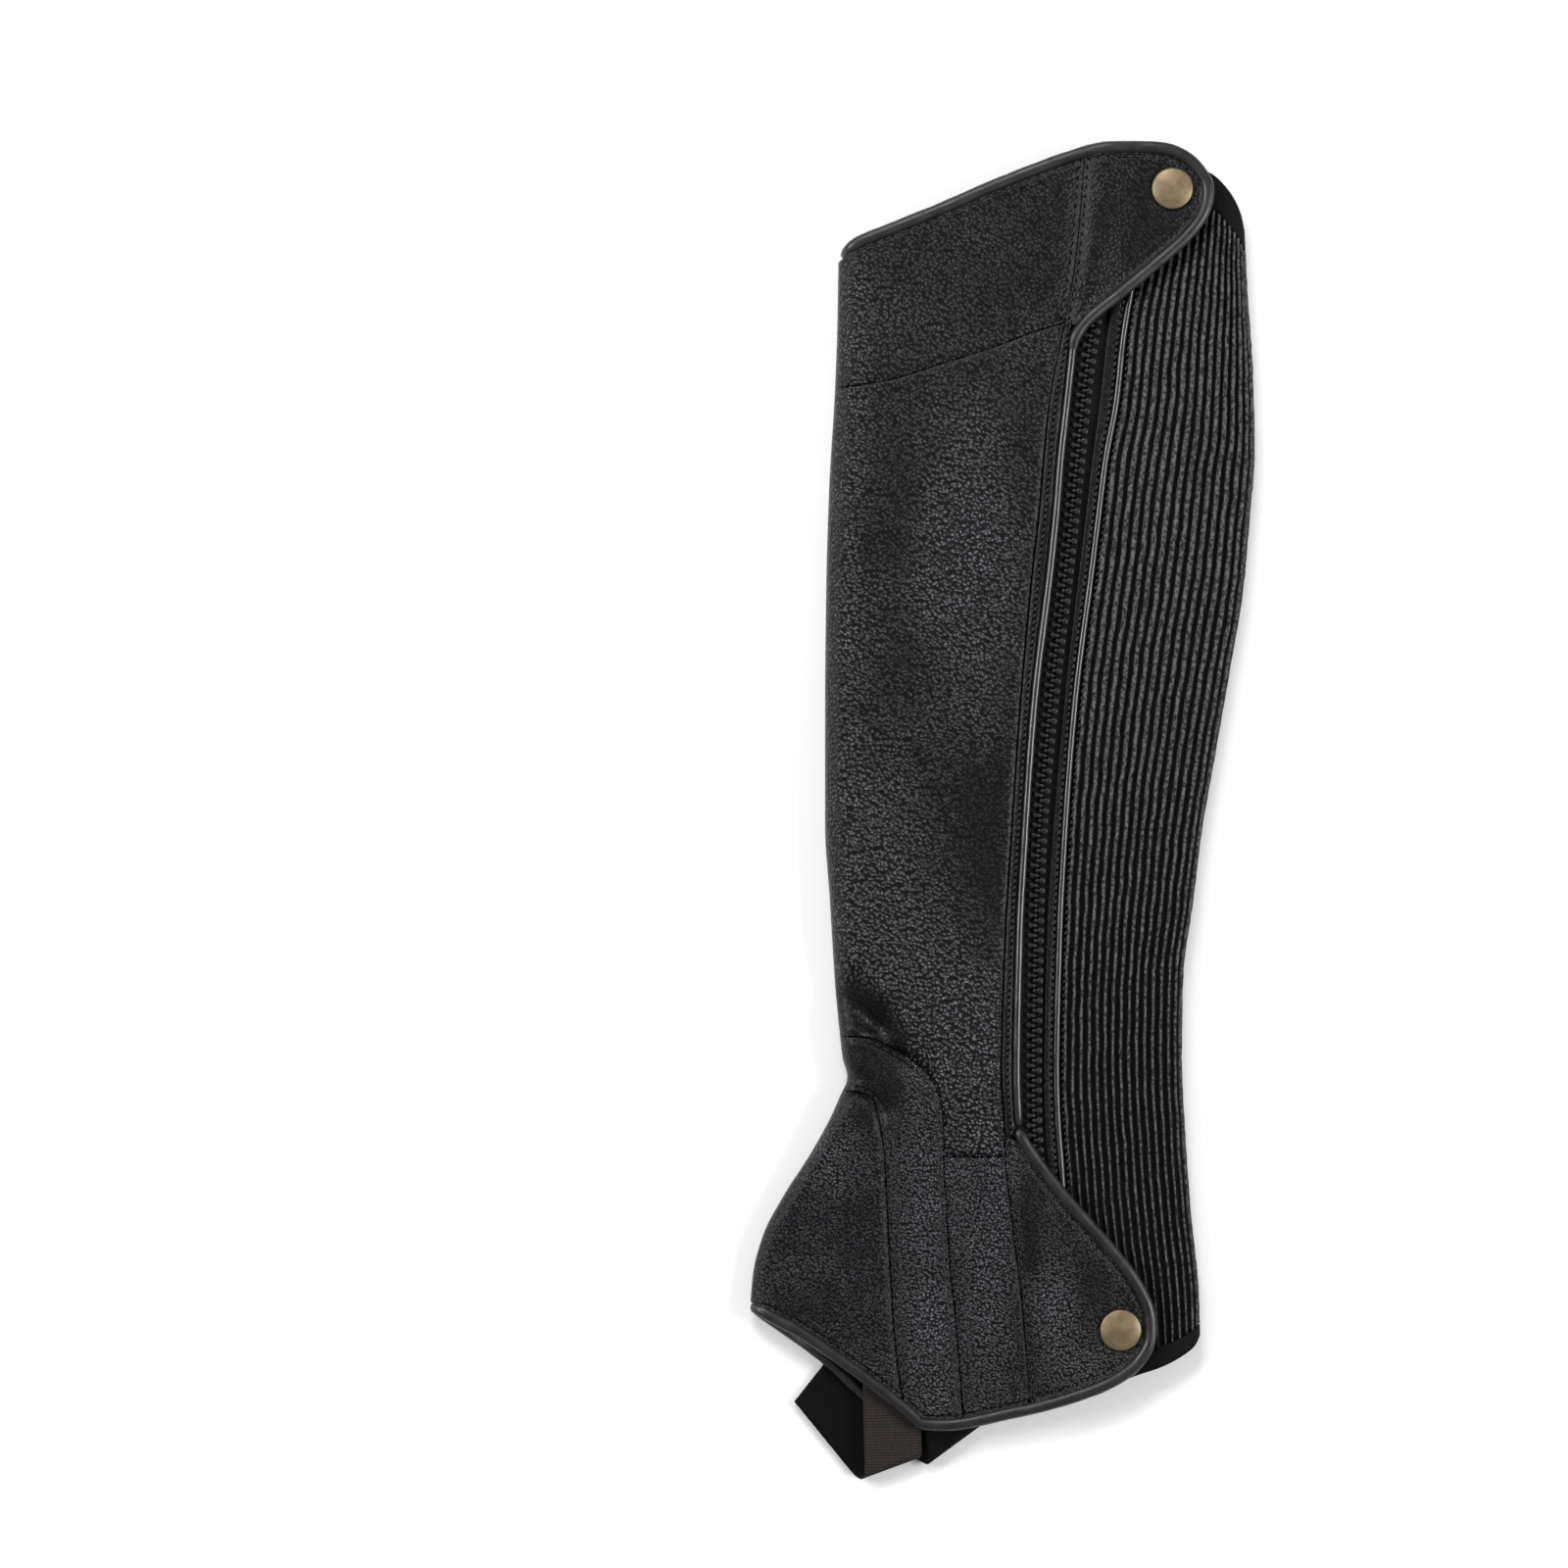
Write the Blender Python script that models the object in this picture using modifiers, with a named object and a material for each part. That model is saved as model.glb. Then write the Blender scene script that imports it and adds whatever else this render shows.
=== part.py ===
"""Half chap for the right or left lower leg: a leather tube with a ribbed elastic
calf panel, a long zip, two snapped tabs and an elastic stirrup strap.

It lies flattened with its outer side up: +Y runs from the foot to the knee, the
shin fold is at -X, the elastic calf fold at +X, and its inner side rests on z = 0.
Everything below is in millimetres until the meshes are written in metres.
"""

import math

import bmesh
import bpy
from mathutils import Vector

MM = 0.001
NAME = "half_chap"

# ---- driving sizes, millimetres -------------------------------------------------
LEATHER = 1.8  # wall of the leather panels
TAB = 2.0  # a tab is two leathers stitched back to back
ELASTIC = 1.8  # wall of the ribbed elastic, over its ribs
TAPE = 0.7  # woven zip tape
SEAM = 0.18  # each panel stops this far from the middle of its seam
BINDING = 1.8  # radius of the rolled edge binding
INNER_BINDING = 1.5  # the same where it lies under the garment
GUARD_PIPING = 1.4  # radius of the rolled piping beside the zip, leather side
FACING_PIPING = 1.2  # and on the elastic side
CHAIN_WIDTH = 5.8  # moulded zip, size 5
CHAIN_THICK = 1.4
SNAP_RADIUS = 7.15
SNAP_HEIGHT = 2.0
SOCKET_RADIUS = 4.5
SOCKET_HEIGHT = 1.2
STRAP_WIDTH = 20.0
STRAP_THICK = 1.2

# Heights of the layers over the crown surface (the outer face of the leather).
GUARD_TOP = 0.3
GUARD_PIPING_MID = 0.0
FACING_TOP = -0.5
FACING_PIPING_MID = -0.9
TAPE_TOP = -2.4
CHAIN_TOP = -0.7
ELASTIC_TOP = -1.0
TAB_RISE = 2.9  # the tabs climb this far over zip and elastic
TAB_RUN = 6.0  # within this distance of the seam that holds them
BINDING_MID = -0.5

# ---- the garment by sections, foot to knee --------------------------------------
# y, seam of the zip guard, outer edge of its piping, middle of the zip,
# facing, outer edge of the facing's piping
SECTIONS = (
    (224.7, 27.9, 32.3, 40.0, 46.5, 53.0),
    (193.5, 25.2, 29.6, 35.0, 41.1, 47.9),
    (163.9, 20.1, 25.8, 30.2, 36.0, 42.8),
    (142.8, 16.0, 23.5, 27.5, 33.7, 40.5),
    (121.4, 13.9, 21.1, 25.4, 30.9, 36.6),
    (104.0, 12.4, 19.7, 23.6, 28.9, 34.4),
    (84.7, 10.2, 17.7, 21.6, 26.6, 32.0),
    (36.0, 5.8, 11.9, 16.0, 21.2, 25.9),
    (-14.6, 2.4, 8.4, 11.9, 16.9, 22.1),
    (-42.8, 0.7, 6.9, 11.0, 15.3, 20.7),
    (-91.5, -0.8, 5.9, 10.3, 14.2, 19.6),
    (-107.4, 0.2, 6.6, 10.5, 14.5, 20.1),
    (-120.7, 0.7, 7.8, 11.2, 15.3, 21.1),
    (-143.8, 3.1, 9.5, 12.9, 17.0, 22.8),
    (-168.0, 6.1, 12.6, 16.0, 20.1, 25.8),
    (-206.0, 9.4, 15.9, 19.3, 23.4, 29.3),
)
# y, shin fold
SHIN = (
    (200.0, -57.1),
    (165.6, -57.7),
    (145.2, -58.5),
    (111.2, -60.5),
    (77.2, -61.5),
    (36.4, -61.9),
    (-4.4, -61.9),
    (-31.6, -60.2),
    (-58.8, -58.5),
    (-79.2, -56.6),
    (-86.0, -55.8),
    (-92.8, -54.1),
    (-99.6, -56.8),
    (-106.4, -59.8),
    (-120.0, -67.3),
    (-133.6, -76.0),
    (-147.2, -83.2),
    (-160.8, -86.9),
    (-174.0, -88.1),
)
# y, calf fold
BACK = (
    (215.0, 83.8),
    (199.6, 84.3),
    (179.2, 85.3),
    (152.0, 87.1),
    (124.8, 87.7),
    (104.4, 86.2),
    (77.2, 83.8),
    (50.0, 79.3),
    (22.8, 74.6),
    (-4.4, 69.8),
    (-31.6, 66.3),
    (-58.8, 62.8),
    (-86.0, 62.4),
    (-113.2, 63.6),
    (-140.4, 65.6),
    (-167.6, 68.3),
    (-184.0, 68.8),
)
# y, crown over the leather, crown over the elastic
CROWN = (
    (232.0, 13.0, 11.5),
    (193.0, 14.0, 12.0),
    (110.0, 15.0, 12.5),
    (0.0, 15.0, 12.2),
    (-60.0, 15.5, 12.5),
    (-95.0, 15.0, 12.5),
    (-125.0, 13.2, 12.0),
    (-170.0, 11.5, 11.2),
    (-215.0, 10.8, 10.4),
)
# Largest troughs of the leather: from (x, y) to (x, y), half width, depth.
TROUGHS = (
    (-60.0, -57.0, -44.0, -74.0, 5.5, 2.6),
    (-44.0, -74.0, -28.0, -90.0, 4.5, 1.5),
    (-54.0, -94.0, -41.0, -104.0, 3.5, 1.6),
    (-30.0, 10.0, 2.0, -30.0, 16.0, 1.0),
    (10.5, -160.0, 17.5, -186.0, 4.0, 0.8),
)
TOE_DROP = 1.9
CENTRE = (-0.17, -0.32)  # middle of its box in the coordinates of these tables

# ---- edges and seams in plan ----------------------------------------------------
# Top edge: shin fold, knee, round the upper tab, back to the zip guard.
TOP_EDGE = (
    (-57.1, 192.1),
    (-56.2, 195.8),
    (-52.4, 198.6),
    (-41.1, 203.2),
    (-21.8, 211.0),
    (-4.8, 218.5),
    (19.4, 227.9),
    (29.2, 230.9),
    (37.7, 232.2),
    (53.4, 232.2),
    (64.6, 228.5),
    (70.4, 222.4),
    (73.4, 216.6),
    (72.8, 209.8),
    (69.4, 203.0),
    (63.9, 196.5),
    (56.1, 189.7),
    (41.5, 177.5),
    (32.3, 170.3),
    (28.0, 166.0),
    (25.9, 161.0),
)
INNER_TOP_EDGE = (
    (-57.1, 192.1),
    (-56.2, 195.4),
    (-52.4, 197.6),
    (-41.1, 201.4),
    (-21.8, 208.6),
    (-4.8, 216.0),
    (19.4, 224.8),
    (36.0, 228.6),
    (51.0, 229.0),
)
# Hem: toe, sole, round the lower tab, up to the zip guard.
HEM = (
    (-88.1, -174.1),
    (-84.0, -176.6),
    (-72.4, -182.6),
    (-56.4, -193.5),
    (-43.2, -203.3),
    (-33.6, -211.0),
    (-28.8, -215.2),
    (-18.7, -215.6),
    (0.7, -211.9),
    (18.7, -207.4),
    (37.1, -200.9),
    (47.9, -193.5),
    (53.4, -183.4),
    (52.9, -174.1),
    (46.6, -160.8),
    (34.7, -146.2),
    (21.1, -130.6),
    (8.6, -113.6),
    (6.8, -109.6),
)
INNER_HEM = (
    (-88.1, -174.1),
    (-84.2, -177.2),
    (-76.2, -182.6),
    (-61.9, -192.9),
    (-49.3, -204.8),
    (-38.5, -213.4),
    (-31.0, -216.0),
    (-24.0, -215.4),
    (-12.0, -212.4),
    (0.7, -209.4),
    (18.7, -205.0),
    (29.0, -202.5),
)
# Seam under the yoke, shin to zip.
YOKE_SEAM = ((-57.8, 146.5), (-41.1, 149.0), (-21.8, 154.8), (-4.8, 160.3), (12.0, 166.4), (21.0, 169.2))
INNER_YOKE_SEAM = ((-57.8, 146.5), (-41.1, 149.0), (-15.0, 156.5), (10.0, 165.5), (43.6, 172.0))
# Instep strip: its edge on the leg side and its edge on the vamp side.
INSTEP = (
    (-56.7, -78.3, -55.9, -97.4),
    (-46.6, -78.7, -50.3, -97.9),
    (-40.5, -81.3, -47.9, -98.9),
    (-33.0, -85.7, -44.9, -101.3),
    (-26.5, -91.1, -43.5, -105.1),
    (-22.4, -98.9, -42.6, -111.0),
    (-20.9, -108.1, -41.5, -119.7),
    (-20.7, -120.3, -40.8, -131.0),
    (-20.1, -131.6, -40.1, -143.8),
    (-18.7, -156.1, -38.9, -165.0),
    (-16.4, -178.0, -37.4, -187.0),
    (-13.9, -210.6, -35.0, -204.0),
)
# Elastic: upper end of the top band, seam below it, seam of the bottom band, its end.
BAND_TOP = ((54.0, 226.0), (63.0, 224.6), (72.4, 221.3), (77.2, 216.9), (81.0, 211.4), (83.1, 206.4), (84.1, 202.0))
BAND_SEAM = ((50.4, 216.6), (59.8, 214.3), (68.6, 211.4), (74.4, 207.6), (79.0, 202.6), (82.6, 197.6), (84.3, 193.6))
HEM_SEAM = ((27.9, -193.2), (38.0, -191.6), (46.2, -189.4), (54.7, -186.3), (61.5, -183.3), (66.6, -180.4), (68.7, -178.6))
HEM_END = ((28.6, -201.2), (38.0, -199.4), (47.3, -196.2), (55.0, -193.6), (62.5, -189.6), (67.0, -186.0), (68.8, -182.6))
SNAPS = {"upper": (58.5, 215.6), "lower": (40.6, -180.2)}

# ---- stirrup strap: folds of a flat strip, from its outer end ---------------------
# heading of the strip before the fold in degrees, where its middle line meets the
# fold, radius of the bend
STRAP_FOLDS = (
    (-82.0, -16.4, -220.2, 2.65),
    (154.6, -64.4, -197.4, 0.8),
    (-50.9, -39.8, -227.8, 2.45),
)
STRAP_LAST = 91.5  # heading of its inner end
STRAP_OUTER_END = 20.0  # lengths beyond the first and the last fold
STRAP_INNER_END = 33.0
STRAP_LIE = 0.6  # middle of the strip where it lies on the ground
STRAP_RISE = 0.4  # the outer end climbs this much to its seam
STRAP_SHIFT = 2.2  # the last bend is pulled this far towards the heel


# ---- helpers ----------------------------------------------------------------------
def ramp(t):
    t = min(max(t, 0.0), 1.0)
    return t * t * (3.0 - 2.0 * t)


def through(xs, ys):
    """A smooth curve through a table, with no overshoot between its rows."""
    if xs[0] > xs[-1]:
        xs, ys = xs[::-1], ys[::-1]
    gaps = [b - a for a, b in zip(xs, xs[1:])]
    slopes = [(b - a) / g for a, b, g in zip(ys, ys[1:], gaps)]
    tangents = [slopes[0]]
    for i in range(1, len(xs) - 1):
        a, b = slopes[i - 1], slopes[i]
        if a * b <= 0.0:
            tangents.append(0.0)
            continue
        wa, wb = 2 * gaps[i] + gaps[i - 1], gaps[i] + 2 * gaps[i - 1]
        tangents.append((wa + wb) / (wa / a + wb / b))
    tangents.append(slopes[-1])

    def at(x):
        x = min(max(x, xs[0]), xs[-1])
        i = 0
        while i < len(gaps) - 1 and x > xs[i + 1]:
            i += 1
        t = (x - xs[i]) / gaps[i]
        return (
            ys[i] * (1 + 2 * t) * (1 - t) ** 2
            + gaps[i] * tangents[i] * t * (1 - t) ** 2
            + ys[i + 1] * t * t * (3 - 2 * t)
            + gaps[i] * tangents[i + 1] * t * t * (t - 1)
        )

    return at


def column(table, k):
    return through([row[0] for row in table], [row[k] for row in table])


class Line:
    """A smooth line in plan through the rows of a table, read by row number."""

    def __init__(self, points):
        steps = list(range(len(points)))
        self.last = len(points) - 1
        self.x = through(steps, [p[0] for p in points])
        self.y = through(steps, [p[1] for p in points])

    def at(self, t):
        return (self.x(t), self.y(t))

    def beside(self, t, distance):
        """The point at t, moved to the left of the line by the distance."""
        a, b = self.at(max(t - 0.02, 0.0)), self.at(min(t + 0.02, self.last))
        dx, dy = b[0] - a[0], b[1] - a[1]
        size = math.hypot(dx, dy) or 1.0
        x, y = self.at(t)
        return (x - dy / size * distance, y + dx / size * distance)

    def nearest(self, x, y):
        count = self.last * 40
        return min((math.hypot(self.x(k / 40) - x, self.y(k / 40) - y), k / 40) for k in range(count + 1))[1]

    def stretch(self, start, end, count, distance=0.0):
        """Points at even lengths along the line between two row numbers."""
        fine = [self.beside(start + (end - start) * k / 200, distance) for k in range(201)]
        return spaced(fine, [k / (count - 1) for k in range(count)])


def spaced(points, fractions):
    """Points of a polyline at the given fractions of its length."""
    runs = [0.0]
    for a, b in zip(points, points[1:]):
        runs.append(runs[-1] + math.hypot(b[0] - a[0], b[1] - a[1]))
    found, i = [], 0
    for f in fractions:
        want = f * runs[-1]
        while i < len(runs) - 2 and runs[i + 1] < want:
            i += 1
        t = (want - runs[i]) / ((runs[i + 1] - runs[i]) or 1.0)
        a, b = points[i], points[i + 1]
        found.append((a[0] + (b[0] - a[0]) * t, a[1] + (b[1] - a[1]) * t))
    return found


shin = column(SHIN, 1)
back = column(BACK, 1)
seam, guard, chain, facing, elastic = (column(SECTIONS, k) for k in range(1, 6))
leather_crown, elastic_crown = column(CROWN, 1), column(CROWN, 2)
top_edge, inner_top_edge = Line(TOP_EDGE), Line(INNER_TOP_EDGE)
hem, inner_hem = Line(HEM), Line(INNER_HEM)


def segment_distance(x, y, ax, ay, bx, by):
    dx, dy = bx - ax, by - ay
    t = min(max(((x - ax) * dx + (y - ay) * dy) / (dx * dx + dy * dy), 0.0), 1.0)
    return math.hypot(x - ax - dx * t, y - ay - dy * t)


def crown(x, y):
    """Height of the leather's outer face, away from the folds."""
    over = ramp((x - chain(y) + 6.0) / 16.0)
    h = leather_crown(y) * (1 - over) + elastic_crown(y) * over
    h -= TOE_DROP * ramp((-45.0 - x) / 35.0) * ramp((-105.0 - y) / 30.0)
    for ax, ay, bx, by, half, depth in TROUGHS:
        d = segment_distance(x, y, ax, ay, bx, by) / half
        if d < 2.6:
            h -= depth * math.exp(-d * d)
    return h


def under(x, y):
    """Height of the inner side over the ground: the hem lies on the folded strap."""
    over_one = 2.1 * ramp((23.0 - segment_distance(x, y, -15.7, -219.9, -60.0, -201.0)) / 8.5)
    over_two = 3.2 * ramp((17.5 - segment_distance(x, y, -65.9, -198.6, -50.0, -219.2)) / 6.5)
    return max(over_one, over_two)


def bend(d, r):
    t = min(max(d / r, 0.0), 1.0)
    return math.sqrt(1.0 - (1.0 - t) ** 2)


def fold_radius(y):
    return 4.6 + 1.6 * ramp((y + 150.0) / 60.0)


def face(x, y, side, drop=0.0):
    """Outer face of the flattened tube: side +1 above, -1 below."""
    h, low = crown(x, y) + drop, under(x, y)
    mid = (h + low) / 2
    q = bend(x - shin(y), fold_radius(y)) * bend(back(y) - x, 6.2)
    return mid + (h - mid) * q if side > 0 else mid - (mid - low) * q


def rise(x, y):
    return ramp((x - seam(y)) / TAB_RUN)


# ---- scene, materials ---------------------------------------------------------------
for thing in list(bpy.data.objects):
    bpy.data.objects.remove(thing, do_unlink=True)
group = bpy.data.collections.new(NAME)
bpy.context.scene.collection.children.link(group)


def material(name, colour, roughness, metallic=0.0):
    made = bpy.data.materials.new(name)
    made.use_nodes = True
    shader = made.node_tree.nodes["Principled BSDF"]
    shader.inputs["Base Color"].default_value = (*colour, 1.0)
    shader.inputs["Roughness"].default_value = roughness
    shader.inputs["Metallic"].default_value = metallic
    return made


LEATHER_BLACK = material("black_leather", (0.022, 0.022, 0.024), 0.45)
PIPING_BLACK = material("black_piping", (0.018, 0.018, 0.02), 0.35)
ELASTIC_BLACK = material("black_elastic", (0.02, 0.02, 0.022), 0.8)
WEB_BLACK = material("black_webbing", (0.012, 0.012, 0.013), 0.9)
ZIP_BLACK = material("black_zip", (0.012, 0.012, 0.013), 0.4)
SNAP_BRASS = material("antique_brass", (0.42, 0.36, 0.25), 0.35, 1.0)


def add(name, mesh, paint):
    thing = bpy.data.objects.new(name, mesh)
    thing.data.materials.append(paint)
    group.objects.link(thing)
    return thing


def cloth(name, rows, thickness, paint):
    """A shell whose outer face is a grid, rows from knee to foot, None where it has no cloth."""
    made = bmesh.new()
    grid = [[made.verts.new([c * MM for c in p]) if p else None for p in row] for row in rows]
    for upper, lower in zip(grid, grid[1:]):
        for j in range(len(upper) - 1):
            corners = (upper[j], lower[j], lower[j + 1], upper[j + 1])
            if all(corners):
                made.faces.new(corners)
    mesh = bpy.data.meshes.new(name)
    made.to_mesh(mesh)
    made.free()
    mesh.shade_smooth()
    thing = add(name, mesh, paint)
    wall = thing.modifiers.new("wall", "SOLIDIFY")
    wall.thickness = thickness * MM
    wall.offset = -1.0
    wall.use_even_offset = True
    return thing


def tube(name, points, radius, paint, radii=None):
    """A rolled edge along a line in space."""
    curve = bpy.data.curves.new(name, "CURVE")
    curve.dimensions = "3D"
    curve.bevel_depth = radius * MM
    curve.bevel_resolution = 2
    curve.use_fill_caps = True
    path = curve.splines.new("POLY")
    path.points.add(len(points) - 1)
    for k, (x, y, z) in enumerate(points):
        path.points[k].co = (x * MM, y * MM, z * MM, 1.0)
        path.points[k].radius = 1.0 if radii is None else radii[k]
    return add(name, curve, paint)


def patch(top, bottom, left, right):
    """A Coons patch in plan from its four edges, as rows of (x, y)."""

    def fractions(points):
        runs = [0.0]
        for a, b in zip(points, points[1:]):
            runs.append(runs[-1] + math.hypot(b[0] - a[0], b[1] - a[1]))
        return [r / runs[-1] for r in runs]

    across = [(a + b) / 2 for a, b in zip(fractions(top), fractions(bottom))]
    down = [(a + b) / 2 for a, b in zip(fractions(left), fractions(right))]
    rows = []
    for i, v in enumerate(down):
        row = []
        for j, u in enumerate(across):
            row.append(
                tuple(
                    (1 - v) * top[j][k]
                    + v * bottom[j][k]
                    + (1 - u) * left[i][k]
                    + u * right[i][k]
                    - (1 - u) * (1 - v) * top[0][k]
                    - u * (1 - v) * top[-1][k]
                    - (1 - u) * v * bottom[0][k]
                    - u * v * bottom[-1][k]
                    for k in (0, 1)
                )
            )
        rows.append(row)
    return rows


def wrapped(name, outer, inner, thickness, paint, drop=0.0, fold_first=True):
    """A panel that runs from the inner side, round a fold, to the outer side.
    outer and inner are plan rows that start on the fold and share it."""
    rows = []
    for a, b in zip(outer, inner):
        above = [p and (*p, face(*p, 1, drop)) for p in a]
        below = [p and (*p, face(*p, -1, drop)) for p in b[1:]]
        rows.append(below[::-1] + above if fold_first else above[::-1] + below)
    return cloth(name, rows, thickness, paint)


def even(points, fractions):
    return spaced(points, fractions)


def dense(line, start, end, distance=0.0):
    return [line.beside(start + (end - start) * k / 160, distance) for k in range(161)]


# Columns that follow a fold: close together where the wall turns over.
TURN = (0.0, 0.010, 0.040, 0.085)
EDGE_IN = 2 * BINDING + 0.35  # a panel stops short of the binding that edges it
INNER_IN = 2 * INNER_BINDING + 0.35

# ---- leg panel ---------------------------------------------------------------------
# The panel runs down to the instep seam, and a tongue of it beyond, to the ankle seam.
LEG_Y = (168.4, 152.0, 130.0, 108.0, 82.0, 52.0, 20.0, -12.0, -40.0, -62.0, -80.0, -98.9)
TONGUE_Y = (-108.1, -114.0, -119.9)
yoke_seam, inner_yoke_seam = Line(YOKE_SEAM), Line(INNER_YOKE_SEAM)
instep_out = Line([row[:2] for row in INSTEP])
instep_in = Line([row[2:] for row in INSTEP])
OUT_STEPS = (0.0, 0.06, 0.25, 0.55, 1.0, 2.0, 3.0, 4.0, 5.0)
TONGUE_STEPS = (6.0, 6.5, 7.0)


def leg_rows(upper_seam, fractions, edge):
    shin_low = -78.1
    share = [(LEG_Y[0] - y) / (LEG_Y[0] - LEG_Y[-1]) for y in LEG_Y]
    fold = [(shin(y), y) for y in (146.3 + (shin_low - 146.3) * f for f in share)]
    top = even(dense(upper_seam, 0, upper_seam.last, -SEAM), TURN + fractions)
    side = [(edge(y) - SEAM, y) for y in (top[-1][1],) + LEG_Y[1:]]
    bottom = [instep_out.beside(t, SEAM) for t in OUT_STEPS]
    bottom += even([bottom[-1], side[-1]], (0, 0.33, 0.67, 1.0))[1:]
    top[0], bottom[0], top[-1], bottom[-1] = fold[0], fold[-1], side[0], side[-1]
    rows = patch(top, bottom, fold, side)
    for y, t in zip(TONGUE_Y, TONGUE_STEPS):
        x = instep_out.beside(t, SEAM)[0]
        end = edge(y) - SEAM
        rows.append([None] * 8 + [(x + (end - x) * f, y) for f in (0, 0.33, 0.67, 1.0)])
    return rows


leg_outer = leg_rows(yoke_seam, (0.2, 0.32, 0.44, 0.54, 0.62, 0.74, 0.87, 1.0), seam)
leg_inner = leg_rows(inner_yoke_seam, (0.18, 0.28, 0.37, 0.45, 0.52, 0.66, 0.83, 1.0), elastic)
wrapped("leg_panel", leg_outer, leg_inner, LEATHER, LEATHER_BLACK)

# ---- yoke --------------------------------------------------------------------------
YOKE_CORNER = ((-55.7, 188.6), (-53.6, 190.2))  # its edge beside the turn of the binding
top_mark = top_edge.nearest(28.6, 230.8)
fold_y = [188.2, 181.0, 171.0, 159.0, 147.0]
fold_line = [(shin(y), y) for y in fold_y]
right_edge = [(seam(y) - SEAM, y) for y in (226.4, 213.0, 199.0, 184.0, 169.8)]
top = even(dense(top_edge, 0.9, top_mark, -EDGE_IN), TURN + (0.25, 0.45, 0.65, 0.83, 1.0))
bottom = even(dense(yoke_seam, 0, yoke_seam.last, SEAM), TURN + (0.25, 0.45, 0.65, 0.83, 1.0))
top[0], bottom[0], top[-1], bottom[-1] = fold_line[0], fold_line[-1], right_edge[0], right_edge[-1]
top[1:3] = YOKE_CORNER
yoke_outer = patch(top, bottom, fold_line, right_edge)
top = even(dense(inner_top_edge, 0.9, inner_top_edge.last, -EDGE_IN), TURN + (0.25, 0.45, 0.65, 0.83, 1.0))
bottom = even(dense(inner_yoke_seam, 0, inner_yoke_seam.last, SEAM), TURN + (0.25, 0.45, 0.65, 0.83, 1.0))
right_edge = [(elastic(y) - SEAM, y) for y in (224.6, 212.0, 199.0, 186.0, 172.2)]
top[0], bottom[0], top[-1], bottom[-1] = fold_line[0], fold_line[-1], right_edge[0], right_edge[-1]
top[1:3] = YOKE_CORNER
yoke_inner = patch(top, bottom, fold_line, right_edge)
wrapped("yoke_panel", yoke_outer, yoke_inner, LEATHER, LEATHER_BLACK)

# ---- instep strip ------------------------------------------------------------------
STEPS = OUT_STEPS + (8.0, 9.0, 10.0, 10.6, 11.0)


def instep_rows(edge, inset):
    """Plan rows of the strip: from its leg side to its vamp side, along its length."""
    upper = [instep_out.beside(t, -SEAM) for t in STEPS]
    lower = [instep_in.beside(t, SEAM) for t in STEPS]
    a, b = edge.nearest(*upper[-1]), edge.nearest(*lower[-1])
    end = edge.stretch(a, b, 5, inset)
    upper[-1], lower[-1] = end[0], end[-1]
    ys = [upper[0][1] + (lower[0][1] - upper[0][1]) * k / 4 for k in range(5)]
    start = [(shin(y), y) for y in ys]
    upper[0], lower[0] = start[0], start[-1]
    return patch(upper, lower, start, end)


wrapped("instep_panel", instep_rows(hem, EDGE_IN), instep_rows(inner_hem, INNER_IN), LEATHER, LEATHER_BLACK)

# ---- vamp --------------------------------------------------------------------------
VAMP_FOLD_Y = (-98.2, -101.5, -105.5, -111.0, -119.0, -128.0, -138.0, -149.0, -160.0, -169.6)


def vamp_rows(edge, inset):
    right = [instep_in.beside(t, -3 * SEAM) for t in (2, 3, 4, 5, 6, 7, 8, 9, 10, 11)]
    left = [(shin(y), y) for y in VAMP_FOLD_Y]
    end = edge.nearest(*right[-1])
    bottom = even(dense(edge, 0.7, end, inset), (0.0, 0.025, 0.075, 0.14, 0.4, 0.7, 1.0))
    top = [instep_in.beside(t, -3 * SEAM) for t in (0.0, 0.08, 0.3, 0.6, 1.0, 1.5, 2.0)]
    top[0], bottom[0], top[-1], right[-1] = left[0], left[-1], right[0], bottom[-1]
    return patch(top, bottom, left, right)


wrapped("vamp_panel", vamp_rows(hem, EDGE_IN), vamp_rows(inner_hem, INNER_IN), LEATHER, LEATHER_BLACK)


# ---- ankle panels --------------------------------------------------------------------
def ankle_rows(edge, inset, side, right_x):
    left = [instep_out.beside(t, SEAM) for t in (7, 8, 9, 10, 10.6, 11)]
    left[0] = (left[0][0], -120.6)
    a = edge.nearest(*left[-1])
    right_end = edge.nearest(right_x(-208.0), -208.0)
    bottom = edge.stretch(a, right_end, 4, inset)
    left[-1] = bottom[0]
    ys = [left[0][1] + (bottom[-1][1] - left[0][1]) * k / 5 for k in range(6)]
    right = [(right_x(y) - SEAM, y) for y in ys]
    right[-1] = (right_x(bottom[-1][1]) - SEAM, bottom[-1][1])
    bottom[-1] = right[-1]
    top = even([left[0], right[0]], (0, 0.33, 0.67, 1))
    return [[(x, y, face(x, y, side)) for x, y in row] for row in patch(top, bottom, left, right)]


cloth("ankle_panel", ankle_rows(hem, EDGE_IN, 1, seam), LEATHER, LEATHER_BLACK)
inner = ankle_rows(inner_hem, INNER_IN, -1, elastic)
cloth("inner_ankle_panel", [row[::-1] for row in inner], LEATHER, LEATHER_BLACK)


# ---- tabs ----------------------------------------------------------------------------
def tab(name, top, bottom, left, right):
    rows = [[(x, y, crown(x, y) + TAB_RISE * rise(x, y)) for x, y in row] for row in patch(top, bottom, left, right)]
    cloth(name, rows, TAB, LEATHER_BLACK)


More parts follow.
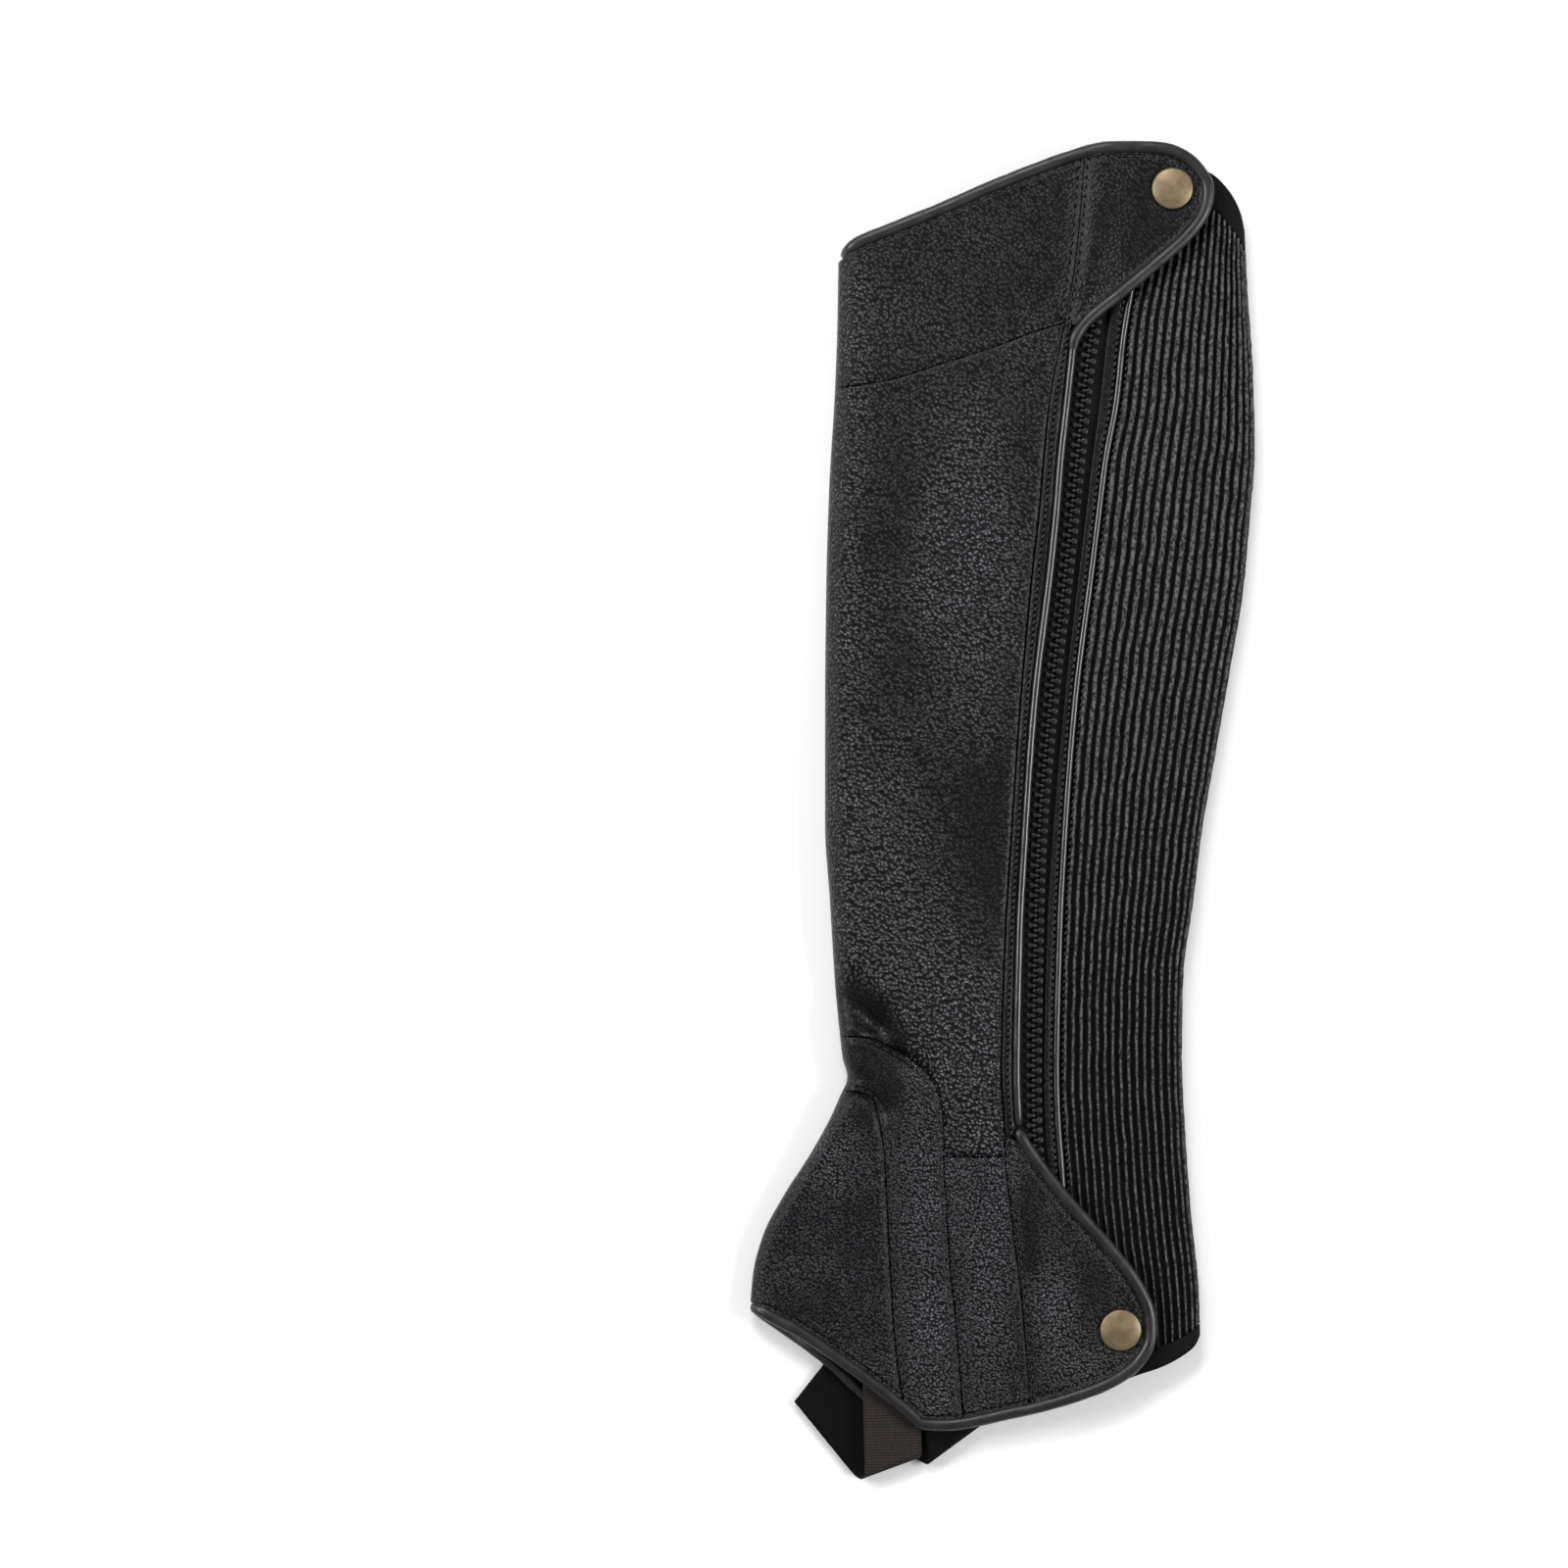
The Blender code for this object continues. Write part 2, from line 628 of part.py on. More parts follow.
BEND_IN = (0.0, 0.04, 0.1, 0.17, 0.45, 0.75, 1.0)
corner = top_edge.nearest(70.4, 222.4)
turn = top_edge.nearest(69.4, 203.0)
foot = top_edge.nearest(28.4, 166.4)
top = even(dense(top_edge, top_mark, corner, -EDGE_IN), BEND_IN)
right = top_edge.stretch(corner, turn, 5, -EDGE_IN)
bottom = even(dense(top_edge, foot, turn, -EDGE_IN), BEND_IN)
left_y = [226.4, 211.5, 196.5, 181.5, 168.8]
left = [(seam(y) + SEAM, y) for y in left_y]
top[0], bottom[0], top[-1], bottom[-1] = left[0], left[-1], right[0], right[-1]
tab("upper_tab", top, bottom, left, right)

tip = hem.nearest(47.9, -193.5)
low = hem.nearest(9.8, -209.6)
high = hem.nearest(9.4, -115.0)
right = hem.stretch(high, tip, 9, EDGE_IN)[::1]
bottom = even(dense(hem, low, tip, EDGE_IN), BEND_IN)
left = [(seam(y) + SEAM, y) for y in (-113.4, -120.6, -131.0, -142.0, -154.0, -167.0, -181.0, -194.0, -205.4)]
top = even([left[0], right[0]], BEND_IN)
bottom[0], bottom[-1] = left[-1], right[-1]
tab("lower_tab", top, bottom, left, right)

# ---- zip guard, tapes, chain, facing ---------------------------------------------------
ZIP_Y = (224.0, 210.0, 196.0, 182.0, 168.4, 158.0, 152.0, 130.0, 108.0, 82.0, 52.0, 20.0, -12.0, -40.0, -62.0)
ZIP_Y += (-80.0, -96.0, -108.0, -120.6, -131.0, -142.0, -154.0, -167.0, -181.0, -194.0, -200.0)


def strip(name, ys, left, right, lift, thickness, paint, count=3):
    rows = []
    for y in ys:
        a, b = left(y), right(y)
        xs = [a + (b - a) * k / (count - 1) for k in range(count)]
        rows.append([(x, y, crown(x, y) + lift) for x in xs])
    return cloth(name, rows, thickness, paint)


def between(high, low):
    return [high] + [y for y in ZIP_Y if low + 3 < y < high - 3] + [low]


strip(
    "zip_guard",
    between(158.6, -111.0),
    lambda y: seam(y) + SEAM,
    lambda y: guard(y) - 2 * GUARD_PIPING - 0.3,
    GUARD_TOP,
    LEATHER,
    LEATHER_BLACK,
)
tube(
    "zip_guard_piping",
    [(guard(y) - GUARD_PIPING, y, crown(guard(y) - GUARD_PIPING, y) + GUARD_PIPING_MID) for y in between(158.4, -106.4)],
    GUARD_PIPING,
    PIPING_BLACK,
)
strip("zip_tape_front", between(224.0, -200.0), lambda y: seam(y) + 1.2, lambda y: chain(y) - 0.4, TAPE_TOP, TAPE, ZIP_BLACK, 4)
strip("zip_tape_back", between(224.0, -200.0), lambda y: chain(y) + 0.4, lambda y: facing(y) + 2.6, TAPE_TOP, TAPE, ZIP_BLACK, 2)
SLIDER_LOW, SLIDER_HIGH = 207.0, 217.0
strip(
    "zip_chain",
    between(SLIDER_LOW - 0.4, -198.0),
    lambda y: chain(y) - CHAIN_WIDTH / 2,
    lambda y: chain(y) + CHAIN_WIDTH / 2,
    CHAIN_TOP,
    CHAIN_THICK,
    ZIP_BLACK,
)
strip(
    "elastic_facing",
    between(220.0, -198.0),
    facing,
    lambda y: elastic(y) - 2 * FACING_PIPING - 0.3,
    FACING_TOP,
    1.5,
    LEATHER_BLACK,
)
tube(
    "elastic_facing_piping",
    [
        (elastic(y) - FACING_PIPING, y, crown(elastic(y) - FACING_PIPING, y) + FACING_PIPING_MID)
        for y in between(220.0, -190.5)
    ],
    FACING_PIPING,
    PIPING_BLACK,
)

# Slider: a body over the chain's upper end and its pull, laid down along the chain.
mesh = bpy.data.meshes.new("zip_slider")
made = bmesh.new()
mid_y = (SLIDER_LOW + SLIDER_HIGH) / 2
mid_x = chain(mid_y)
rest = crown(mid_x, mid_y)
bmesh.ops.create_cube(made, size=1.0)
bmesh.ops.scale(made, vec=(7.4 * MM, (SLIDER_HIGH - SLIDER_LOW) * MM, 2.2 * MM), verts=made.verts)
bmesh.ops.translate(made, vec=(0, 0, 1.1 * MM), verts=made.verts)
made.to_mesh(mesh)
made.free()
slider = add("zip_slider", mesh, ZIP_BLACK)
slider.location = (mid_x * MM, mid_y * MM, (rest - 1.85) * MM)
edge = slider.modifiers.new("edge", "BEVEL")
edge.width = 0.5 * MM
edge.segments = 2
pull_y = SLIDER_LOW - 9.4
bpy.ops.mesh.primitive_cylinder_add(vertices=24, radius=3.0 * MM, depth=0.7 * MM)
pull = bpy.context.object
pull.name = pull.data.name = "zip_pull"
for v in pull.data.vertices:
    v.co.y *= 2.9
pull.location = (chain(pull_y) * MM, pull_y * MM, (crown(chain(pull_y), pull_y) + 0.1) * MM)
pull.rotation_euler = (
    math.atan2(crown(chain(pull_y), pull_y + 8) - crown(chain(pull_y), pull_y - 8), 16.0),
    -math.atan2(crown(chain(pull_y) + 3, pull_y) - crown(chain(pull_y) - 3, pull_y), 6.0),
    0.0,
)
pull.data.materials.append(ZIP_BLACK)
for home in list(pull.users_collection):
    home.objects.unlink(pull)
group.objects.link(pull)

# ---- elastic and its two bands -----------------------------------------------------------
# Columns run from the calf fold, so a row starts there on both sides.
BACK_TURN = (0.0, 0.016, 0.06, 0.13, 0.3, 0.5, 0.75, 1.0)
ELASTIC_Y = (215.9, 196.0, 182.0, 168.4, 152.0, 130.0, 108.0, 82.0, 52.0, 20.0, -12.0, -40.0, -62.0, -80.0, -96.0)
ELASTIC_Y += (-120.6, -142.0, -167.0, -192.8)


def elastic_rows(high, low, ys, gap):
    high, low = Line(high), Line(low)
    top = even(dense(high, high.last, 0, -2 * SEAM), BACK_TURN)
    bottom = even(dense(low, low.last, 0, 2 * SEAM), BACK_TURN)
    shares = [(ys[0] - y) / (ys[0] - ys[-1]) for y in ys]
    fold = [(back(y), y) for y in (top[0][1] + (bottom[0][1] - top[0][1]) * s for s in shares)]
    side = [(elastic(y) + gap, y) for y in ys]
    top[0], bottom[0], top[-1], bottom[-1] = fold[0], fold[-1], side[0], side[-1]
    return patch(top, bottom, fold, side)


def elastic_piece(name, high, low, ys, paint):
    outer = elastic_rows(high, low, ys, 0.35)
    inner = elastic_rows(high, low, ys, SEAM)
    wrapped(name, outer, inner, ELASTIC, paint, drop=ELASTIC_TOP, fold_first=False)


elastic_piece("elastic_panel", BAND_SEAM, HEM_SEAM, ELASTIC_Y, ELASTIC_BLACK)
elastic_piece("elastic_top_band", BAND_TOP, BAND_SEAM, (225.4, 221.0, 216.7), WEB_BLACK)
elastic_piece("elastic_bottom_band", HEM_SEAM, HEM_END, (-193.6, -197.2, -200.8), WEB_BLACK)


# ---- bindings --------------------------------------------------------------------------
def binding(name, outer, inner, end, inner_end, sign, round_x, turn):
    """One rolled edge: inner side, round the fold at round_x, outer side."""
    points, radii = [], []

    def centre(line, t, side):
        r = BINDING if side > 0 else INNER_BINDING
        x, y = line.beside(t, sign * r)
        x = max(x, round_x + BINDING)
        above = crown(x, y) + BINDING_MID + TAB_RISE * rise(x, y)
        below = under(x, y) + INNER_BINDING
        mid = (above + below) / 2
        q = bend(x - round_x - BINDING, turn)
        return (x, y, mid + (above - mid) * q if side > 0 else mid - (mid - below) * q)

    def steps(line, last, count):
        start = [0.0, 0.15, 0.35, 0.6, 1.0]
        fine = [1.0 + (last - 1.0) * k / 400 for k in range(401)]
        runs = [0.0]
        for a, b in zip(fine, fine[1:]):
            p, q = line.at(a), line.at(b)
            runs.append(runs[-1] + math.hypot(q[0] - p[0], q[1] - p[1]))
        for k in range(1, count + 1):
            want = runs[-1] * k / count
            start.append(fine[min(range(401), key=lambda i: abs(runs[i] - want))])
        return start

    for t in reversed(steps(inner, inner_end, 14)[1:]):
        points.append(centre(inner, t, -1))
        radii.append(INNER_BINDING / BINDING)
    for t in steps(outer, end, 40 if name == "hem_binding" else 34):
        points.append(centre(outer, t, 1))
        radii.append(1.0)
    count = len(steps(inner, inner_end, 14)) - 1
    for k, share in enumerate((0.95, 0.8, 0.55, 0.3, 0.1)):
        radii[count - 3 + k] = 1.0 - (1.0 - INNER_BINDING / BINDING) * share
    kept, widths = [points[0]], [radii[0]]
    for p, r in zip(points[1:], radii[1:]):
        if (Vector(p) - Vector(kept[-1])).length > 0.9:
            kept.append(p)
            widths.append(r)
    return tube(name, kept, BINDING, PIPING_BLACK, widths)


binding("top_binding", top_edge, inner_top_edge, top_edge.last, inner_top_edge.last, -1, -57.3, 4.6)
binding("hem_binding", hem, inner_hem, hem.last, inner_hem.last, 1, -88.1, 3.4)


# ---- snaps -----------------------------------------------------------------------------
def tilt(x, y):
    step = 5.0
    return (
        math.atan2(crown(x, y + step) - crown(x, y - step), 2 * step),
        -math.atan2(crown(x + step, y) - crown(x - step, y), 2 * step),
        0.0,
    )


for which, (x, y) in SNAPS.items():
    profile = bpy.data.meshes.new("snap_cap_" + which)
    made = bmesh.new()
    steps = 5
    outline = [(SNAP_RADIUS * math.sin(a), 0.7 + (SNAP_HEIGHT - 0.7) * math.cos(a)) for a in (math.pi / 2 * k / steps for k in range(steps, -1, -1))]
    outline = [(0.0, SNAP_HEIGHT)] + [(r, z) for r, z in reversed(outline)][1:] + [(SNAP_RADIUS, 0.35), (SNAP_RADIUS - 0.35, 0.0), (0.0, 0.0)]
    verts = [made.verts.new((r * MM, 0.0, z * MM)) for r, z in outline]
    for a, b in zip(verts, verts[1:]):
        made.edges.new((a, b))
    made.to_mesh(profile)
    made.free()
    cap = add("snap_cap_" + which, profile, SNAP_BRASS)
    turned = cap.modifiers.new("turned", "SCREW")
    turned.steps = turned.render_steps = 28
    turned.use_merge_vertices = True
    turned.merge_threshold = 0.00005
    turned.use_normal_calculate = True
    cap.location = (x * MM, y * MM, (crown(x, y) + TAB_RISE + 0.35) * MM)
    cap.rotation_euler = tilt(x, y)
    bpy.ops.mesh.primitive_cylinder_add(vertices=32, radius=SOCKET_RADIUS * MM, depth=SOCKET_HEIGHT * MM)
    socket = bpy.context.object
    socket.name = socket.data.name = "snap_socket_" + which
    socket.location = (x * MM, y * MM, (crown(x, y) + (TAB_RISE - TAB + ELASTIC_TOP) / 2) * MM)
    socket.rotation_euler = tilt(x, y)
    socket.data.materials.append(SNAP_BRASS)
    for home in list(socket.users_collection):
        home.objects.unlink(socket)
    group.objects.link(socket)


# ---- stirrup strap -----------------------------------------------------------------------
def strap_rows():
    """The middle face of a flat strip after its folds, as rows across the strip."""
    heads = [f[0] for f in STRAP_FOLDS] + [STRAP_LAST]
    spots = [Vector((f[1], f[2])) for f in STRAP_FOLDS]
    folds, at = [], STRAP_OUTER_END
    for k, (_, _, _, radius) in enumerate(STRAP_FOLDS):
        # The strip is turned over after each fold, which mirrors the fold's angle to it.
        lean = math.radians(((heads[k] + heads[k + 1]) / 2 - heads[k]) * (-1) ** k) % math.pi
        folds.append((at, lean, radius, -1 if k < 2 else 1))
        if k < 2:
            at += (spots[k + 1] - spots[k]).length + (math.pi - 2) * radius / math.sin(lean)

    # Cuts across the strip: length, angle, folds passed, fold it is in.
    cuts = [(0.0, math.pi / 2, 0, None)]
    for k, (s, lean, radius, _) in enumerate(folds):
        across = math.sin(lean)
        first = s - radius / across
        here, old_lean = cuts[-1][0], cuts[-1][1]
        for i in range(1, 4):
            f = i / 4
            cuts.append((here + (first - here) * f, old_lean + (lean - old_lean) * f, k, None))
        count = 10 if radius > 1.5 else 6
        for i in range(count + 1):
            cuts.append((first + math.pi * radius * i / count / across, lean, k, k))
    here, old_lean = cuts[-1][0], cuts[-1][1]
    for i in range(1, 6):
        f = i / 5
        cuts.append((here + STRAP_INNER_END * f, old_lean + (math.pi / 2 - old_lean) * f, 3, None))

    heading = math.radians(heads[0])
    along = Vector((math.cos(heading), math.sin(heading)))
    side = Vector((-along.y, along.x))
    origin = spots[0] - along * STRAP_OUTER_END
    high = STRAP_LIE + 2 * folds[0][2]
    rows = []
    for s0, lean, passed, inside in cuts:
        row = []
        for t in (-0.5, 0.0, 0.5):
            t *= STRAP_WIDTH
            p = Vector((s0 + t / math.tan(lean), t, 0.0))
            for k in reversed(range(passed + (inside is not None))):
                start, fold_lean, radius, up = folds[k]
                normal = Vector((math.sin(fold_lean), -math.cos(fold_lean), 0.0))
                q = (p - Vector((start, 0, p.z))).dot(normal) + radius
                if k == inside:
                    p += normal * (radius * math.sin(q / radius) - q)
                    p.z = up * radius * (1 - math.cos(q / radius))
                else:
                    p += normal * (math.pi * radius - 2 * q)
                    p.z = up * 2 * radius - p.z
            spot = origin + along * p.x + side * p.y
            z = high + p.z
            if passed == 0 and inside is None:
                z += STRAP_RISE * ramp((folds[0][0] - 3.0 - s0) / 8.0)
            late = ramp((s0 - folds[2][0] + folds[2][2]) / (math.pi * folds[2][2]))
            row.append((spot.x + STRAP_SHIFT * late, spot.y, z))
        rows.append(row)
    return rows


strap = cloth("stirrup_strap", strap_rows(), STRAP_THICK, WEB_BLACK)
strap.modifiers["wall"].offset = 0.0

for thing in group.objects:
    thing.location.x -= CENTRE[0] * MM
    thing.location.y -= CENTRE[1] * MM
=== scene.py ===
import math

import bmesh
import bpy
import numpy as np
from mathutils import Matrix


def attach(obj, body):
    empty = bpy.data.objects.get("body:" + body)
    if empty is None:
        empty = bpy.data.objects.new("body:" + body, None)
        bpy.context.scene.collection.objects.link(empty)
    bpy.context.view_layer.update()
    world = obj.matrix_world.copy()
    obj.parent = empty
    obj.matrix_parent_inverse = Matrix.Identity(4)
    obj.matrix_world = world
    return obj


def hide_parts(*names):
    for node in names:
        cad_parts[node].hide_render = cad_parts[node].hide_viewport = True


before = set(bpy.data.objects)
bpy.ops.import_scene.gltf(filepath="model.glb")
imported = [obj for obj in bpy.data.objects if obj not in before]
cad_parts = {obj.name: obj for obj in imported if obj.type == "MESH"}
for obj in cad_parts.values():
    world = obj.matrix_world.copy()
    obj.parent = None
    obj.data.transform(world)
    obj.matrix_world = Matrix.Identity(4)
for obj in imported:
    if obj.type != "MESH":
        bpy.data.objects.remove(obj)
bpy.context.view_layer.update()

MM = 0.001
CENTRE = (-0.17, -0.32)  # middle of the box in the coordinates of the tables below
SHIFT = np.array([-CENTRE[0], -CENTRE[1], 0.0])

# ---- driving sizes, millimetres, as in the solids ---------------------------------
LEATHER, TAB, ELASTIC, TAPE, SEAM = 1.8, 2.0, 1.8, 0.7, 0.18
BINDING, INNER_BINDING = 1.8, 1.5
BINDING_WIDE = 2.15  # half width of the rolled edge, which laps over the leather
GUARD_PIPING, FACING_PIPING = 1.4, 1.2
SNAP_RADIUS, SNAP_HEIGHT = 7.15, 2.0
STRAP_WIDTH, STRAP_THICK = 20.0, 1.2
GUARD_TOP, GUARD_PIPING_MID = 0.3, 0.0
FACING_TOP, FACING_PIPING_MID = -0.5, -0.9
TAPE_TOP, CHAIN_TOP, ELASTIC_TOP = -2.4, -0.7, -1.0
TAB_RISE, TAB_RUN, BINDING_MID = 2.9, 6.0, -0.5
EDGE_IN = 2 * BINDING + 0.35
INNER_IN = 2 * INNER_BINDING + 0.35
TOE_DROP = 1.9
TOOTH_PITCH = 3.47  # zip teeth of one side
RIBS = 33  # ribs of the elastic, from facing to facing
STITCH = 3.2  # pitch of the stitches

# y, seam of the zip guard, outer edge of its piping, middle of the zip,
# facing, outer edge of the facing's piping
SECTIONS = (
    (224.7, 27.9, 32.3, 40.0, 46.5, 53.0),
    (193.5, 25.2, 29.6, 35.0, 41.1, 47.9),
    (163.9, 20.1, 25.8, 30.2, 36.0, 42.8),
    (142.8, 16.0, 23.5, 27.5, 33.7, 40.5),
    (121.4, 13.9, 21.1, 25.4, 30.9, 36.6),
    (104.0, 12.4, 19.7, 23.6, 28.9, 34.4),
    (84.7, 10.2, 17.7, 21.6, 26.6, 32.0),
    (36.0, 5.8, 11.9, 16.0, 21.2, 25.9),
    (-14.6, 2.4, 8.4, 11.9, 16.9, 22.1),
    (-42.8, 0.7, 6.9, 11.0, 15.3, 20.7),
    (-91.5, -0.8, 5.9, 10.3, 14.2, 19.6),
    (-107.4, 0.2, 6.6, 10.5, 14.5, 20.1),
    (-120.7, 0.7, 7.8, 11.2, 15.3, 21.1),
    (-143.8, 3.1, 9.5, 12.9, 17.0, 22.8),
    (-168.0, 6.1, 12.6, 16.0, 20.1, 25.8),
    (-206.0, 9.4, 15.9, 19.3, 23.4, 29.3),
)
# y, shin fold
SHIN = (
    (200.0, -57.1),
    (165.6, -57.7),
    (145.2, -58.5),
    (111.2, -60.5),
    (77.2, -61.5),
    (36.4, -61.9),
    (-4.4, -61.9),
    (-31.6, -60.2),
    (-58.8, -58.5),
    (-79.2, -56.6),
    (-86.0, -55.8),
    (-92.8, -54.1),
    (-99.6, -56.8),
    (-106.4, -59.8),
    (-120.0, -67.3),
    (-133.6, -76.0),
    (-147.2, -83.2),
    (-160.8, -86.9),
    (-174.0, -88.1),
)
# y, calf fold
BACK = (
    (215.0, 83.8),
    (199.6, 84.3),
    (179.2, 85.3),
    (152.0, 87.1),
    (124.8, 87.7),
    (104.4, 86.2),
    (77.2, 83.8),
    (50.0, 79.3),
    (22.8, 74.6),
    (-4.4, 69.8),
    (-31.6, 66.3),
    (-58.8, 62.8),
    (-86.0, 62.4),
    (-113.2, 63.6),
    (-140.4, 65.6),
    (-167.6, 68.3),
    (-184.0, 68.8),
)
# y, crown over the leather, crown over the elastic
CROWN = (
    (232.0, 13.0, 11.5),
    (193.0, 14.0, 12.0),
    (110.0, 15.0, 12.5),
    (0.0, 15.0, 12.2),
    (-60.0, 15.5, 12.5),
    (-95.0, 15.0, 12.5),
    (-125.0, 13.2, 12.0),
    (-170.0, 11.5, 11.2),
    (-215.0, 10.8, 10.4),
)
# Troughs of the leather: from (x, y) to (x, y), half width, depth.
TROUGHS = (
    (-60.0, -57.0, -44.0, -74.0, 5.5, 2.6),
    (-44.0, -74.0, -28.0, -90.0, 4.5, 1.5),
    (-54.0, -94.0, -41.0, -104.0, 3.5, 1.6),
    (-30.0, 10.0, 2.0, -30.0, 16.0, 1.0),
    (10.5, -160.0, 17.5, -186.0, 4.0, 0.8),
)
# Small creases: from (x, y) to (x, y), half width, depth.
CREASES = (
    (-58.0, -63.0, -29.0, -91.0, 3.0, 1.25),
    (-50.0, -92.0, -38.0, -106.0, 1.8, 0.5),
    (34.0, -186.0, 12.0, -190.0, 1.8, 0.35),
    (-43.0, -93.0, -24.0, -119.0, 1.6, 0.35),
    (-39.0, -92.0, -22.0, -112.0, 1.3, 0.25),
    (-35.0, -108.0, -27.0, -128.0, 1.5, 0.3),
    (-52.0, -66.0, -36.0, -84.0, 1.5, 0.35),
    (-58.0, -52.0, -46.0, -62.0, 1.4, 0.3),
    (-56.0, -72.0, -50.0, -76.0, 1.5, 0.3),
    (-30.0, 64.0, 2.0, 60.0, 2.4, 0.18),
    (-44.0, 40.0, -8.0, 34.0, 2.6, 0.2),
    (-52.0, 22.0, -20.0, 14.0, 2.4, 0.18),
    (-40.0, -4.0, -6.0, -12.0, 2.6, 0.2),
    (-50.0, -24.0, -22.0, -34.0, 2.2, 0.2),
    (-36.0, -132.0, -34.0, -180.0, 1.8, 0.3),
    (-28.5, -134.0, -26.0, -190.0, 2.0, 0.35),
    (-13.0, -126.0, -9.5, -196.0, 2.4, 0.3),
    (-4.0, -124.0, -1.5, -160.0, 2.0, 0.2),
    (-66.0, -128.0, -56.0, -112.0, 2.2, 0.4),
    (-70.0, -142.0, -54.0, -126.0, 2.2, 0.25),
    (-76.0, -162.0, -58.0, -150.0, 2.6, 0.2),
    (44.0, 190.0, 60.0, 206.0, 1.8, 0.15),
)

TOP_EDGE = (
    (-57.1, 192.1),
    (-56.2, 195.8),
    (-52.4, 198.6),
    (-41.1, 203.2),
    (-21.8, 211.0),
    (-4.8, 218.5),
    (19.4, 227.9),
    (29.2, 230.9),
    (37.7, 232.2),
    (53.4, 232.2),
    (64.6, 228.5),
    (70.4, 222.4),
    (73.4, 216.6),
    (72.8, 209.8),
    (69.4, 203.0),
    (63.9, 196.5),
    (56.1, 189.7),
    (41.5, 177.5),
    (32.3, 170.3),
    (28.0, 166.0),
    (25.9, 161.0),
)
INNER_TOP_EDGE = (
    (-57.1, 192.1),
    (-56.2, 195.4),
    (-52.4, 197.6),
    (-41.1, 201.4),
    (-21.8, 208.6),
    (-4.8, 216.0),
    (19.4, 224.8),
    (36.0, 228.6),
    (51.0, 229.0),
)
HEM = (
    (-88.1, -174.1),
    (-84.0, -176.6),
    (-72.4, -182.6),
    (-56.4, -193.5),
    (-43.2, -203.3),
    (-33.6, -211.0),
    (-28.8, -215.2),
    (-18.7, -215.6),
    (0.7, -211.9),
    (18.7, -207.4),
    (37.1, -200.9),
    (47.9, -193.5),
    (53.4, -183.4),
    (52.9, -174.1),
    (46.6, -160.8),
    (34.7, -146.2),
    (21.1, -130.6),
    (8.6, -113.6),
    (6.8, -109.6),
)
INNER_HEM = (
    (-88.1, -174.1),
    (-84.2, -177.2),
    (-76.2, -182.6),
    (-61.9, -192.9),
    (-49.3, -204.8),
    (-38.5, -213.4),
    (-31.0, -216.0),
    (-24.0, -215.4),
    (-12.0, -212.4),
    (0.7, -209.4),
    (18.7, -205.0),
    (29.0, -202.5),
)
YOKE_SEAM = ((-57.8, 146.5), (-41.1, 149.0), (-21.8, 154.8), (-4.8, 160.3), (12.0, 166.4), (21.0, 169.2))
INNER_YOKE_SEAM = ((-57.8, 146.5), (-41.1, 149.0), (-15.0, 156.5), (10.0, 165.5), (43.6, 172.0))
INSTEP = (
    (-56.7, -78.3, -55.9, -97.4),
    (-46.6, -78.7, -50.3, -97.9),
    (-40.5, -81.3, -47.9, -98.9),
    (-33.0, -85.7, -44.9, -101.3),
    (-26.5, -91.1, -43.5, -105.1),
    (-22.4, -98.9, -42.6, -111.0),
    (-20.9, -108.1, -41.5, -119.7),
    (-20.7, -120.3, -40.8, -131.0),
    (-20.1, -131.6, -40.1, -143.8),
    (-18.7, -156.1, -38.9, -165.0),
    (-16.4, -178.0, -37.4, -187.0),
    (-13.9, -210.6, -35.0, -204.0),
)
BAND_TOP = ((54.0, 226.0), (63.0, 224.6), (72.4, 221.3), (77.2, 216.9), (81.0, 211.4), (83.1, 206.4), (84.1, 202.0))
BAND_SEAM = ((50.4, 216.6), (59.8, 214.3), (68.6, 211.4), (74.4, 207.6), (79.0, 202.6), (82.6, 197.6), (84.3, 193.6))
HEM_SEAM = ((27.9, -193.2), (38.0, -191.6), (46.2, -189.4), (54.7, -186.3), (61.5, -183.3), (66.6, -180.4), (68.7, -178.6))
HEM_END = ((28.6, -201.2), (38.0, -199.4), (47.3, -196.2), (55.0, -193.6), (62.5, -189.6), (67.0, -186.0), (68.8, -182.6))
SNAPS = {"upper": (58.5, 215.6), "lower": (40.6, -180.2)}
# heading before the fold, where the middle line meets it, radius of the bend
STRAP_FOLDS = (
    (-82.0, -16.4, -220.2, 2.65),
    (154.6, -64.4, -197.4, 0.8),
    (-50.9, -39.8, -227.8, 2.45),
)
STRAP_LAST, STRAP_OUTER_END, STRAP_INNER_END = 91.5, 20.0, 33.0
STRAP_LIE, STRAP_RISE, STRAP_SHIFT = 0.6, 0.4, 2.2


# ---- camera and view --------------------------------------------------------------------
FRAME_WIDTH = 0.544  # metres that the photograph's width spans
VIEW_HEIGHT = 2.2
eye = bpy.data.cameras.new("camera")
eye.sensor_width = 36.0
eye.lens = 36.0 * (VIEW_HEIGHT - 0.013) / FRAME_WIDTH
camera = bpy.data.objects.new("camera", eye)
camera.location = (-0.07599, 0.0095, VIEW_HEIGHT)
bpy.context.scene.collection.objects.link(camera)
bpy.context.scene.camera = camera
bpy.context.scene.view_settings.view_transform = "Standard"


# ---- curves and surfaces over arrays -----------------------------------------------------
def ramp(t):
    t = np.clip(t, 0.0, 1.0)
    return t * t * (3.0 - 2.0 * t)


